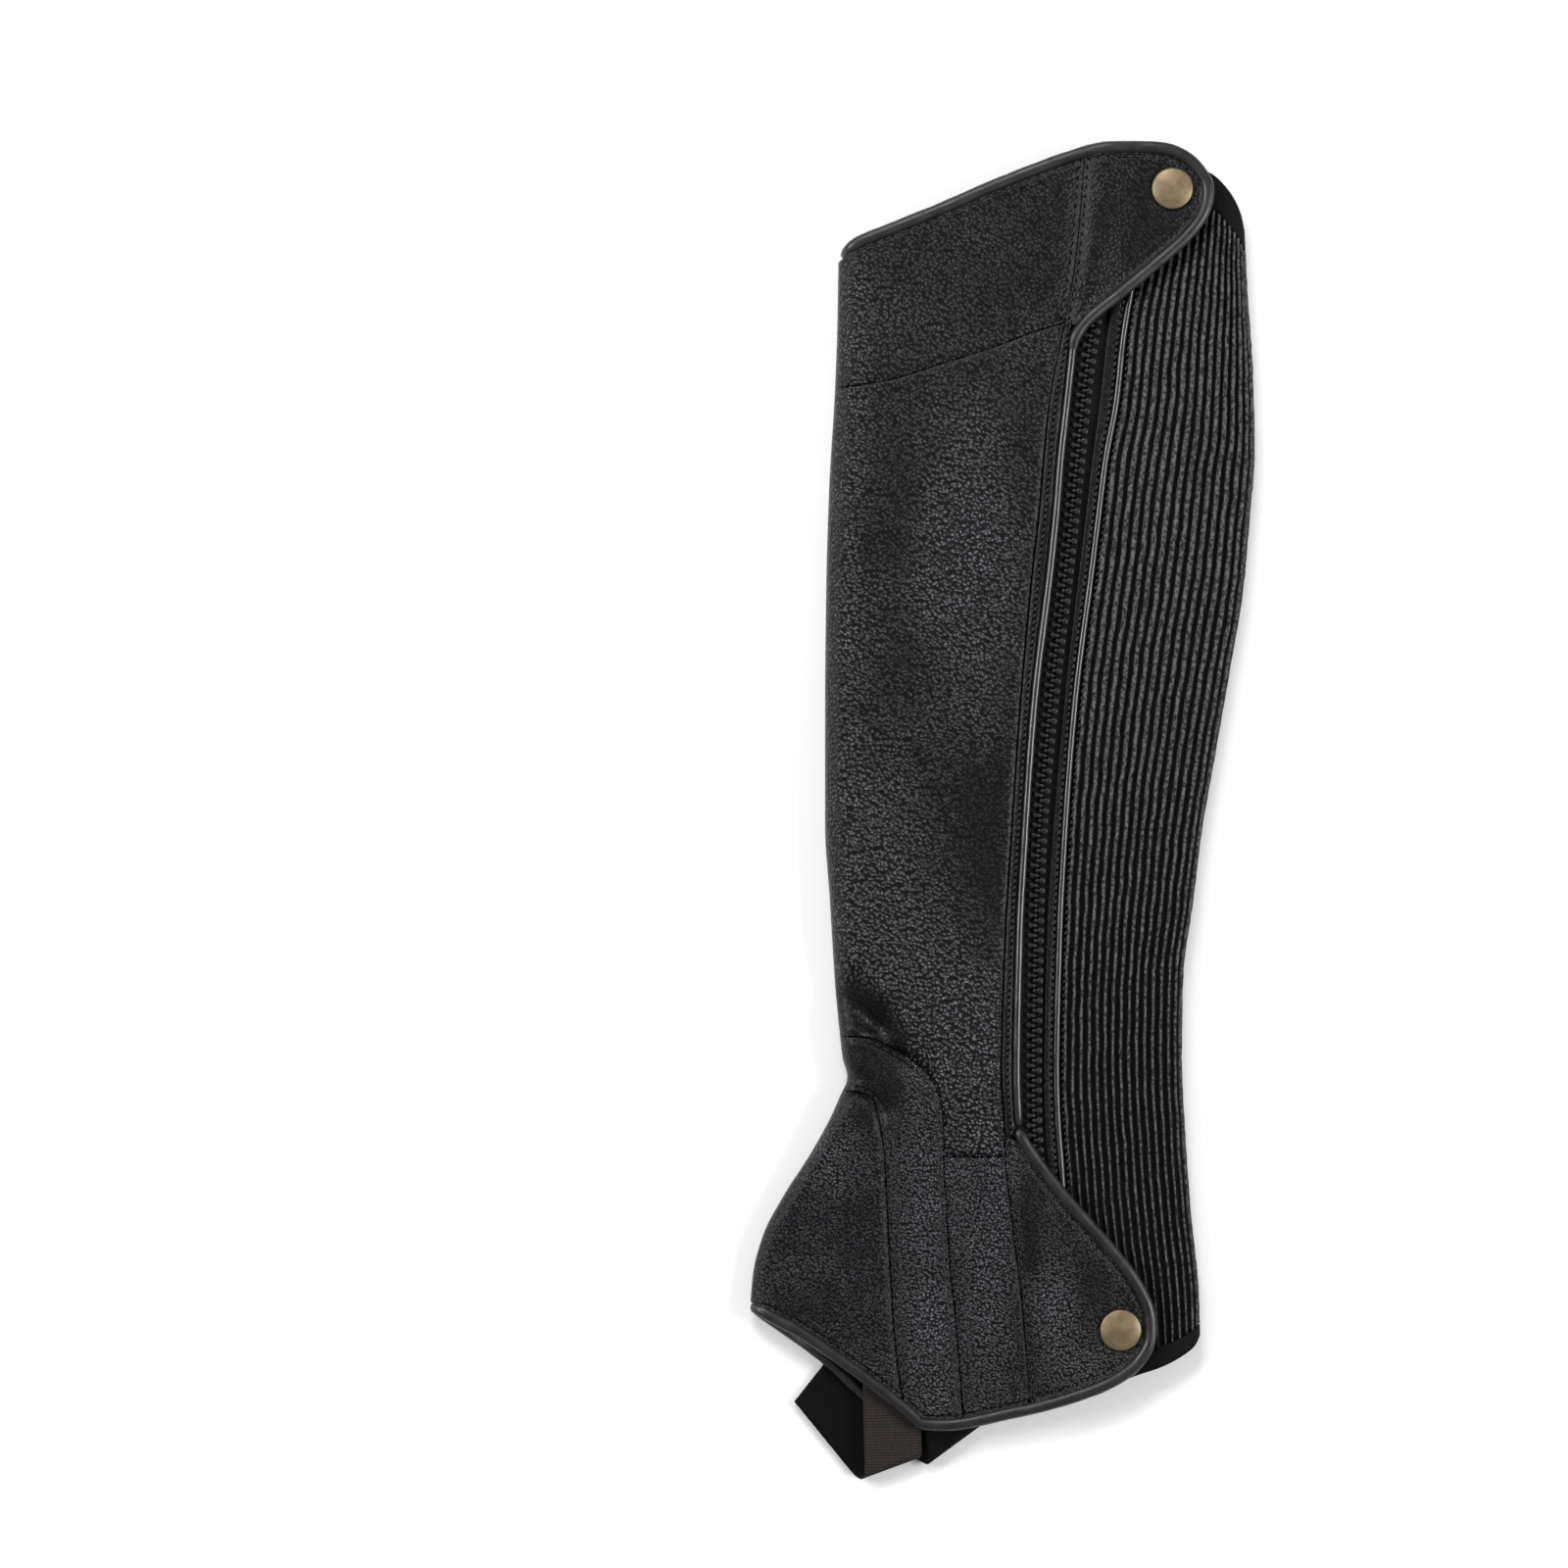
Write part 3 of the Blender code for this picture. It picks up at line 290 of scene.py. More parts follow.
def through(xs, ys):
    """A smooth curve through a table, with no overshoot between its rows."""
    xs, ys = np.array(xs, float), np.array(ys, float)
    if xs[0] > xs[-1]:
        xs, ys = xs[::-1], ys[::-1]
    gaps = np.diff(xs)
    slopes = np.diff(ys) / gaps
    tangents = np.empty_like(xs)
    tangents[0], tangents[-1] = slopes[0], slopes[-1]
    for i in range(1, len(xs) - 1):
        a, b = slopes[i - 1], slopes[i]
        wa, wb = 2 * gaps[i] + gaps[i - 1], gaps[i] + 2 * gaps[i - 1]
        tangents[i] = 0.0 if a * b <= 0.0 else (wa + wb) / (wa / a + wb / b)

    def at(x):
        x = np.clip(x, xs[0], xs[-1])
        i = np.clip(np.searchsorted(xs, x) - 1, 0, len(gaps) - 1)
        t = (x - xs[i]) / gaps[i]
        return (
            ys[i] * (1 + 2 * t) * (1 - t) ** 2
            + gaps[i] * tangents[i] * t * (1 - t) ** 2
            + ys[i + 1] * t * t * (3 - 2 * t)
            + gaps[i] * tangents[i + 1] * t * t * (t - 1)
        )

    return at


def column(table, k):
    return through([row[0] for row in table], [row[k] for row in table])


class Line:
    """A smooth line in plan through the rows of a table, read by row number."""

    def __init__(self, points):
        steps = list(range(len(points)))
        self.last = len(points) - 1
        self.x = through(steps, [p[0] for p in points])
        self.y = through(steps, [p[1] for p in points])

    def at(self, t):
        return np.stack([self.x(t), self.y(t)], -1)

    def beside(self, t, distance):
        t = np.asarray(t, float)
        run = self.at(np.minimum(t + 0.02, self.last)) - self.at(np.maximum(t - 0.02, 0.0))
        size = np.maximum(np.linalg.norm(run, axis=-1), 1e-9)
        p = self.at(t)
        return np.stack([p[..., 0] - run[..., 1] / size * distance, p[..., 1] + run[..., 0] / size * distance], -1)

    def nearest(self, x, y):
        t = np.linspace(0, self.last, self.last * 40 + 1)
        return t[np.argmin(np.hypot(self.x(t) - x, self.y(t) - y))]

    def path(self, start, end, distance=0.0, count=400):
        return self.beside(np.linspace(start, end, count), distance)


def even(points, fractions):
    """Points of a polyline at the given fractions of its length."""
    points = np.asarray(points, float)
    runs = np.concatenate([[0.0], np.cumsum(np.linalg.norm(np.diff(points, axis=0), axis=1))])
    want = np.asarray(fractions) * runs[-1]
    return np.stack([np.interp(want, runs, points[:, k]) for k in range(points.shape[1])], -1)


def length_of(points):
    return float(np.linalg.norm(np.diff(np.asarray(points, float), axis=0), axis=1).sum())


def marks(length, step, start=(), end=()):
    """Fractions from 0 to 1: the given distances in from each end, and even steps between."""
    low = start[-1] if start else 0.0
    high = length - (end[-1] if end else 0.0)
    count = max(int(round((high - low) / step)), 1)
    inner = np.linspace(low, high, count + 1)
    found = [0.0] + list(start[:-1]) + list(inner) + [length - e for e in reversed(end[:-1])] + [length]
    return np.unique(np.round(np.array(found) / length, 9))


def patch(top, bottom, left, right):
    """A Coons patch in plan from its four edges, as an array of rows."""
    top, bottom, left, right = (np.asarray(e, float) for e in (top, bottom, left, right))

    def fractions(points):
        runs = np.concatenate([[0.0], np.cumsum(np.linalg.norm(np.diff(points, axis=0), axis=1))])
        return runs / runs[-1]

    u = ((fractions(top) + fractions(bottom)) / 2)[None, :, None]
    v = ((fractions(left) + fractions(right)) / 2)[:, None, None]
    return (
        (1 - v) * top[None]
        + v * bottom[None]
        + (1 - u) * left[:, None]
        + u * right[:, None]
        - (1 - u) * (1 - v) * top[0]
        - u * (1 - v) * top[-1]
        - (1 - u) * v * bottom[0]
        - u * v * bottom[-1]
    )


def lumps(x, y, size, seed):
    """Smooth noise from -1 to 1, in lumps of about that size."""
    u, v = np.asarray(x) / size + seed * 17.3, np.asarray(y) / size - seed * 9.1
    i, j = np.floor(u), np.floor(v)
    fu, fv = ramp(u - i), ramp(v - j)

    def corner(a, b):
        return np.modf(np.sin(a * 127.1 + b * 311.7 + seed * 74.7) * 43758.5453)[0]

    low = corner(i, j) * (1 - fu) + corner(i + 1, j) * fu
    high = corner(i, j + 1) * (1 - fu) + corner(i + 1, j + 1) * fu
    return low * (1 - fv) + high * fv


def segment_distance(x, y, ax, ay, bx, by):
    dx, dy = bx - ax, by - ay
    t = np.clip(((x - ax) * dx + (y - ay) * dy) / (dx * dx + dy * dy), 0.0, 1.0)
    return np.hypot(x - ax - dx * t, y - ay - dy * t)


def line_distance(x, y, lines):
    """Distance in plan to the nearest of some polylines."""
    best = np.full(np.shape(x), 1e3)
    for points in lines:
        for a, b in zip(points, points[1:]):
            best = np.minimum(best, segment_distance(x, y, a[0], a[1], b[0], b[1]))
    return best


shin = column(SHIN, 1)
back = column(BACK, 1)
seam, guard, chain, facing, elastic = (column(SECTIONS, k) for k in range(1, 6))
leather_crown, elastic_crown = column(CROWN, 1), column(CROWN, 2)
top_edge, inner_top_edge = Line(TOP_EDGE), Line(INNER_TOP_EDGE)
hem, inner_hem = Line(HEM), Line(INNER_HEM)
yoke_seam, inner_yoke_seam = Line(YOKE_SEAM), Line(INNER_YOKE_SEAM)
instep_out = Line([row[:2] for row in INSTEP])
instep_in = Line([row[2:] for row in INSTEP])


def base_crown(x, y):
    over = ramp((x - chain(y) + 6.0) / 16.0)
    h = leather_crown(y) * (1 - over) + elastic_crown(y) * over
    h = h - TOE_DROP * ramp((-45.0 - x) / 35.0) * ramp((-105.0 - y) / 30.0)
    for ax, ay, bx, by, half, depth in TROUGHS:
        h = h - depth * np.exp(-((segment_distance(x, y, ax, ay, bx, by) / half) ** 2))
    return h


def crown(x, y):
    """Height of the leather's outer face away from the folds, with its soft lumps."""
    x, y = np.asarray(x, float), np.asarray(y, float)
    on_leather = 1 - ramp((x - seam(y)) / 8.0)
    h = base_crown(x, y) + 0.12 * lumps(x, y, 21.0, 4)
    h = h + on_leather * (0.42 * lumps(x, y * 0.7, 30.0, 1) + 0.16 * lumps(x, y, 11.0, 2))
    for ax, ay, bx, by, half, depth in CREASES:
        d = segment_distance(x + 0.8 * lumps(x, y, 9.0, 5), y, ax, ay, bx, by) / half
        h = h - depth * np.exp(-d * d)
    return h


def under(x, y):
    """Height of the inner side over the ground: the hem lies on the folded strap."""
    over_one = 2.1 * ramp((23.0 - segment_distance(x, y, -15.7, -219.9, -60.0, -201.0)) / 8.5)
    over_two = 3.2 * ramp((17.5 - segment_distance(x, y, -65.9, -198.6, -50.0, -219.2)) / 6.5)
    return np.maximum(over_one, over_two)


def bend(d, r):
    t = np.clip(d / r, 0.0, 1.0)
    return np.sqrt(1.0 - (1.0 - t) ** 2)


def fold_radius(y):
    return 4.6 + 1.6 * ramp((y + 150.0) / 60.0)


def turn_of(x, y):
    return bend(x - shin(y), fold_radius(y)) * bend(back(y) - x, 6.2)


def face(x, y, side, drop=0.0):
    """Outer face of the flattened tube: side +1 above, -1 below."""
    h = (crown(x, y) if side > 0 else base_crown(x, y)) + drop
    low = under(x, y)
    mid = (h + low) / 2
    q = turn_of(x, y)
    return mid + (h - mid) * q if side > 0 else mid - (mid - low) * q


def rise(x, y):
    return ramp((x - seam(y)) / TAB_RUN)


def lift(x, y):
    """How far a tab, and the leather just before its seam, stands over the crown."""
    d = x - seam(y)
    steep, easy = ramp(d / TAB_RUN), ramp((d + 5.5) / 12.5)
    near = np.maximum(ramp((y - 171.0) / 9.0), ramp((-117.0 - y) / 9.0))
    ends = 0.45 + 0.55 * np.maximum(ramp((y - 164.0) / 22.0), ramp((-116.0 - y) / 22.0))
    return TAB_RISE * ends * (steep + (easy - steep) * near)


def tab_top(x, y):
    return crown(x, y) + lift(x, y)


# ---- materials ----------------------------------------------------------------------------
class Paint:
    """A node material under construction."""

    def __init__(self, name, specular=0.3, metallic=0.0):
        self.material = bpy.data.materials.new(name)
        self.material.use_nodes = True
        self.tree = self.material.node_tree
        self.shader = self.tree.nodes["Principled BSDF"]
        self.shader.inputs["Specular IOR Level"].default_value = specular
        self.shader.inputs["Metallic"].default_value = metallic

    def node(self, kind, inputs=(), **settings):
        made = self.tree.nodes.new(kind)
        for key, value in settings.items():
            setattr(made, key, value)
        for key, value in dict(inputs).items():
            if isinstance(value, bpy.types.NodeSocket):
                self.tree.links.new(value, made.inputs[key])
            else:
                made.inputs[key].default_value = value
        return made

    def where(self, stretch=(1.0, 1.0, 1.0)):
        coords = self.node("ShaderNodeTexCoord").outputs["Object"]
        return self.node("ShaderNodeMapping", {"Vector": coords, "Scale": stretch}).outputs["Vector"]

    def noise(self, vector, scale, detail=3.0, rough=0.5):
        return self.node(
            "ShaderNodeTexNoise", {"Vector": vector, "Scale": scale, "Detail": detail, "Roughness": rough}
        ).outputs["Fac"]

    def span(self, value, low, high, to_low=0.0, to_high=1.0):
        return self.node(
            "ShaderNodeMapRange",
            {"Value": value, "From Min": low, "From Max": high, "To Min": to_low, "To Max": to_high},
        ).outputs["Result"]

    def math(self, operation, a, b):
        made = self.node("ShaderNodeMath", {0: a, 1: b}, operation=operation)
        return made.outputs[0]

    def tint(self, value, dark, light):
        made = self.node("ShaderNodeMix", {0: value, 6: (*dark, 1.0), 7: (*light, 1.0)}, data_type="RGBA")
        return made.outputs[2]

    def finish(self, colour, roughness, height, strength, distance):
        self.tree.links.new(colour, self.shader.inputs["Base Color"])
        self.tree.links.new(roughness, self.shader.inputs["Roughness"])
        if height is not None:
            bump = self.node("ShaderNodeBump", {"Height": height, "Strength": strength, "Distance": distance})
            self.tree.links.new(bump.outputs["Normal"], self.shader.inputs["Normal"])
        return self.material


def pebbled(name, dark, light, pebble_size, height_mm, sharpness):
    """Full-grain leather: rounded pebbles with creases between them, laid out on the cut piece. The pebble tops are
    painted light as painted highlights, and the creases dark as painted shade.

    The attribute 'shade' is how much the grain stands out there, and how bright a highlight is painted on the pebble
    tops; where it is low, the leather is painted in shade.
    """
    p = Paint(name, 0.21)
    wear_and_painted_sheen = p.node("ShaderNodeAttribute", attribute_name="shade").outputs["Fac"]
    cloth = p.node("ShaderNodeUVMap", uv_map="cloth").outputs["UV"]
    at = p.node("ShaderNodeMapping", {"Vector": cloth, "Scale": (1.0, 0.88, 1.0)}).outputs["Vector"]
    warp = p.node("ShaderNodeTexNoise", {"Vector": at, "Scale": 0.3 / pebble_size, "Detail": 1.0}, noise_dimensions="2D")
    moved = p.node("ShaderNodeVectorMath", {0: warp.outputs["Color"], "Scale": 0.8 * pebble_size}, operation="SCALE").outputs[0]
    at = p.node("ShaderNodeVectorMath", {0: at, 1: moved}, operation="ADD").outputs[0]
    cells = p.node(
        "ShaderNodeTexVoronoi",
        {"Vector": at, "Scale": 1.0 / pebble_size, "Smoothness": 0.3},
        feature="SMOOTH_F1",
        voronoi_dimensions="2D",
    )
    finer = p.node(
        "ShaderNodeTexVoronoi",
        {"Vector": at, "Scale": 2.1 / pebble_size, "Smoothness": 0.4},
        feature="SMOOTH_F1",
        voronoi_dimensions="2D",
    )
    big = p.span(cells.outputs["Distance"], 0.05, 0.56, 1.0, 0.0)
    small = p.span(finer.outputs["Distance"], 0.05, 0.56, 1.0, 0.0)
    pebble = p.math("ADD", p.math("MULTIPLY", big, 0.84), p.math("MULTIPLY", small, 0.16))
    rough_noise = p.node("ShaderNodeTexNoise", {"Vector": at, "Scale": 0.22, "Detail": 2.0}, noise_dimensions="2D").outputs["Fac"]
    amount = p.math("MULTIPLY", p.span(wear_and_painted_sheen, 0.0, 1.0, 0.37, 1.5), p.span(rough_noise, 0.3, 0.7, 0.8, 1.15))
    height = p.math("MULTIPLY", pebble, amount)
    patches = p.node("ShaderNodeTexNoise", {"Vector": at, "Scale": 0.11, "Detail": 2.0}, noise_dimensions="2D").outputs["Fac"]
    each = p.node("ShaderNodeTexNoise", {"Vector": at, "Scale": 0.75 / pebble_size, "Detail": 1.0}, noise_dimensions="2D").outputs["Fac"]
    shine = p.math("MULTIPLY", p.span(wear_and_painted_sheen, 0.0, 1.0, 0.09, 1.0), p.span(patches, 0.3, 0.7, 0.7, 1.3))
    shine = p.math("MULTIPLY", shine, p.span(each, 0.36, 0.64, 0.35, 1.5))
    # Painted highlight and painted shade: each pebble's top is painted light and the crease round it dark, brighter
    # where 'shine' is high.
    top = p.math("MULTIPLY", p.math("POWER", p.span(pebble, 0.12, 0.95), sharpness), shine)
    colour = p.tint(top, dark, light)
    rough = p.math("SUBTRACT", p.span(rough_noise, 0.3, 0.7, 0.36, 0.41), p.math("MULTIPLY", wear_and_painted_sheen, 0.04))
    return p.finish(colour, rough, height, 1.0, height_mm * MM)


def smooth_leather(name, dark, light, rough_low, rough_high, specular):
    """Thin smooth leather of the rolled edges."""
    p = Paint(name, specular)
    at = p.where()
    creases = p.noise(at, 620.0, 4.0, 0.6)
    patches = p.noise(at, 150.0, 3.0)
    height = p.math("ADD", p.math("MULTIPLY", creases, 0.6), p.math("MULTIPLY", patches, 0.6))
    colour = p.tint(p.span(patches, 0.35, 0.65), dark, light)
    rough = p.span(p.noise(at, 210.0, 3.0), 0.3, 0.7, rough_low, rough_high)
    return p.finish(colour, rough, height, 0.35, 0.00025)


def ribbed(name, valley, low, high):
    """Covered elastic cords: the attribute 'shade' is 0 in a valley and 1 on a cord. The valleys are painted near
    black as painted shade, the cords lighter.
    """
    p = Paint(name, 0.12)
    at = p.where((1.0, 0.8, 1.0))
    shade = p.node("ShaderNodeAttribute", attribute_name="shade").outputs["Fac"]
    speckle = p.noise(at, 900.0, 2.0, 0.6)
    patches = p.noise(at, 210.0, 3.0)
    lit = p.math("ADD", p.math("MULTIPLY", speckle, 0.95), p.math("MULTIPLY", patches, 0.12))
    cord = p.tint(p.span(lit, 0.43, 0.66), low, high)
    top = p.span(shade, 0.35, 0.9)
    # Painted shade: the valleys between the cords are painted near black.
    made = p.node("ShaderNodeMix", {0: top, 6: (*valley, 1.0), 7: cord}, data_type="RGBA")
    rough = p.span(speckle, 0.3, 0.7, 0.62, 0.85)
    return p.finish(made.outputs[2], rough, speckle, 0.5, 0.0003)


def woven(name, dark, light, across=1.1, along=0.9, rough=0.85, strength=0.6, specular=0.2):
    """A narrow weave, laid out in millimetres of the piece's own UV map."""
    p = Paint(name, specular)
    place = p.node("ShaderNodeUVMap", uv_map="cloth").outputs["UV"]
    parts = p.node("ShaderNodeSeparateXYZ", {"Vector": place})
    u = p.math("SINE", p.math("MULTIPLY", parts.outputs["X"], 2 * math.pi / across), 0.0)
    v = p.math("SINE", p.math("MULTIPLY", parts.outputs["Y"], 2 * math.pi / along), 0.0)
    cross = p.math("MULTIPLY", u, v)
    grain = p.noise(p.where(), 900.0, 3.0, 0.6)
    height = p.math("ADD", p.math("MULTIPLY", cross, 0.4), p.math("ADD", p.math("MULTIPLY", v, 0.25), grain))
    colour = p.tint(p.span(height, 0.1, 0.95), dark, light)
    rough = p.span(grain, 0.3, 0.7, rough - 0.08, rough + 0.05)
    return p.finish(colour, rough, height, strength, 0.0002)


def moulded(name, dark, light, rough_low, rough_high, specular=0.35):
    p = Paint(name, specular)
    at = p.where()
    fine = p.noise(at, 900.0, 3.0)
    colour = p.tint(p.span(p.noise(at, 180.0, 2.0), 0.35, 0.65), dark, light)
    return p.finish(colour, p.span(fine, 0.3, 0.7, rough_low, rough_high), fine, 0.15, 0.0001)


def antique_brass(name):
    """Lacquered antique brass: a tan face with fine dark specks, paler where it has worn."""
    p = Paint(name, 0.45, metallic=0.55)
    at = p.where()
    specks = p.span(p.noise(at, 2100.0, 2.0, 0.7), 0.52, 0.68)
    cloud = p.noise(at, 240.0, 3.0)
    face_colour = p.tint(p.span(cloud, 0.35, 0.65), (0.185, 0.137, 0.076), (0.245, 0.188, 0.110))
    made = p.node("ShaderNodeMix", {0: p.math("MULTIPLY", specks, 0.35), 6: face_colour, 7: (0.09, 0.066, 0.036, 1.0)}, data_type="RGBA")
    return p.finish(made.outputs[2], p.span(cloud, 0.3, 0.7, 0.36, 0.46), specks, 0.12, 0.0001)


# The light colour of each leather is a painted highlight on its pebble tops, and the dark one painted shade in the
# creases between them.
LEATHER_PAINT = pebbled("black_pebbled_leather", (0.0014, 0.0014, 0.0021), (0.172, 0.172, 0.192), 1.24, 0.38, 2.3)
FOOT_PAINT = pebbled("black_fine_pebbled_leather", (0.0014, 0.0014, 0.0021), (0.16, 0.16, 0.179), 0.94, 0.33, 1.7)
STRIP_PAINT = pebbled("black_strip_leather", (0.0036, 0.0036, 0.0041), (0.020, 0.020, 0.022), 1.1, 0.1, 1.7)
EDGE_PAINT = smooth_leather("black_edge_leather", (0.0055, 0.0055, 0.006), (0.012, 0.012, 0.013), 0.34, 0.48, 0.5)
ROLL_PAINT = smooth_leather("black_piping_leather", (0.006, 0.006, 0.0068), (0.014, 0.014, 0.0155), 0.24, 0.33, 0.65)
RIB_PAINT = ribbed("black_ribbed_elastic", (0.0005, 0.0005, 0.0007), (0.012, 0.012, 0.013), (0.106, 0.106, 0.111))
BAND_PAINT = woven("black_band_tape", (0.0025, 0.0025, 0.0028), (0.009, 0.009, 0.0095), 0.8, 0.8, specular=0.1)
TAPE_PAINT = woven("black_zip_tape", (0.003, 0.003, 0.0032), (0.011, 0.011, 0.0115), 0.9, 1.1, specular=0.12)
STRAP_PAINT = woven("black_strap_web", (0.0015, 0.0015, 0.0018), (0.006, 0.006, 0.0065), 0.9, 1.0, specular=0.08)
STRAP_BACK_PAINT = woven("brown_strap_web", (0.008, 0.0065, 0.006), (0.042, 0.034, 0.031), 0.9, 1.0, specular=0.12)
ZIP_PAINT = moulded("black_moulded_zip", (0.005, 0.005, 0.0052), (0.011, 0.011, 0.0115), 0.36, 0.5)
THREAD_PAINT = moulded("black_thread", (0.008, 0.008, 0.0085), (0.022, 0.022, 0.024), 0.45, 0.6, 0.45)
# Near black: painted shade inside the needle holes.
NEEDLE_HOLE_SHADE_PAINT = moulded("needle_hole_painted_shade", (0.0008, 0.0008, 0.0009), (0.0015, 0.0015, 0.0016), 0.9, 0.95, 0.05)
SNAP_PAINT = antique_brass("antique_brass_snap")


# ---- building pieces -------------------------------------------------------------------------
def piece(name, verts, faces, paint, nodes=(), smooth=True):
    mesh = bpy.data.meshes.new(name)
    mesh.from_pydata(((np.asarray(verts) + SHIFT) * MM).tolist(), [], [list(f) for f in faces])
    if smooth:
        mesh.shade_smooth()
    made = bpy.data.objects.new(name, mesh)
    for one in paint if isinstance(paint, (list, tuple)) else [paint]:
        mesh.materials.append(one)
    bpy.context.scene.collection.objects.link(made)
    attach(made, "root")
    if nodes:
        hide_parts(*nodes)
    return made


def shell(name, grid, thickness, paint, nodes=(), offset=-1.0, shade=None, uv=False):
    """A wall whose outer face is a grid of points, NaN where it has no cloth."""
    rows, cols = grid.shape[:2]
    there = ~np.isnan(grid[..., 0])
    index = np.full((rows, cols), -1)
    index[there] = np.arange(there.sum())
    a, b, c, d = index[:-1, :-1], index[1:, :-1], index[1:, 1:], index[:-1, 1:]
    whole = (a >= 0) & (b >= 0) & (c >= 0) & (d >= 0)
    faces = np.stack([a[whole], b[whole], c[whole], d[whole]], 1)
    made = piece(name, grid[there], faces.tolist(), paint, nodes)
    if shade is not None:
        layer = made.data.attributes.new("shade", "FLOAT", "POINT")
        layer.data.foreach_set("value", shade[there].astype(np.float32))
    if uv is not False:
        step = np.linalg.norm(np.diff(grid, axis=1), axis=2)
        for r in range(1, rows):
            step[r] = np.where(np.isnan(step[r]), step[r - 1], step[r])
        across = np.concatenate([np.zeros((rows, 1)), np.cumsum(step, axis=1)], 1)
        across += np.nanmean(grid[..., 0])
        # Along the rows the middle of the piece sets the scale, so that the grain isn't sheared.
        step = np.nanmedian(np.linalg.norm(np.diff(grid, axis=0), axis=2), axis=1)
        along = np.concatenate([[0.0], np.cumsum(step)])[:, None] + np.zeros((1, cols))
        if uv is not True:
            across, along = uv
        layer = made.data.uv_layers.new(name="cloth")
        corner = np.empty(len(made.data.loops), np.int32)
        made.data.loops.foreach_get("vertex_index", corner)
        flat = np.stack([across[there][corner], along[there][corner]], 1)
        layer.data.foreach_set("uv", flat.astype(np.float32).ravel())
    wall = made.modifiers.new("wall", "SOLIDIFY")
    wall.thickness = thickness * MM
    wall.offset = offset
    wall.use_even_offset = False
    return made


def sweep(name, path, half_w, half_h, ups, paint, nodes=(), sides=14, scale=None, ripple=0.0):
    """A rolled edge along a path, wider than high, with rounded ends."""
    path = np.asarray(path, float)
    count = len(path)
    tangent = np.gradient(path, axis=0)
    tangent /= np.linalg.norm(tangent, axis=1)[:, None]
    ups = np.broadcast_to(np.asarray(ups, float), path.shape)
    side = np.cross(tangent, ups)
    side /= np.linalg.norm(side, axis=1)[:, None]
    up = np.cross(side, tangent)
    scale = np.ones(count) if scale is None else np.array(scale, float)
    ends = np.array([0.4, 0.78, 0.94])
    scale[:3] *= ends
    scale[-3:] *= ends[::-1]
    run = np.concatenate([[0.0], np.cumsum(np.linalg.norm(np.diff(path, axis=0), axis=1))])
    angle = np.linspace(0, 2 * math.pi, sides, endpoint=False)
    grow = scale[:, None] * (1 + ripple * lumps(run[:, None] + 0 * angle, 3.0 * np.sin(angle)[None], 3.2, 7))
    ring = (
        path[:, None]
        + side[:, None] * (half_w * grow * np.cos(angle))[..., None]
        + up[:, None] * (half_h * grow * np.sin(angle))[..., None]
    )
    faces = []
    for i in range(count - 1):
        for k in range(sides):
            m = (k + 1) % sides
            faces.append((i * sides + k, (i + 1) * sides + k, (i + 1) * sides + m, i * sides + m))
    faces.append(tuple(range(sides)))
    faces.append(tuple((count - 1) * sides + k for k in reversed(range(sides))))
    return piece(name, ring.reshape(-1, 3), faces, paint, nodes)


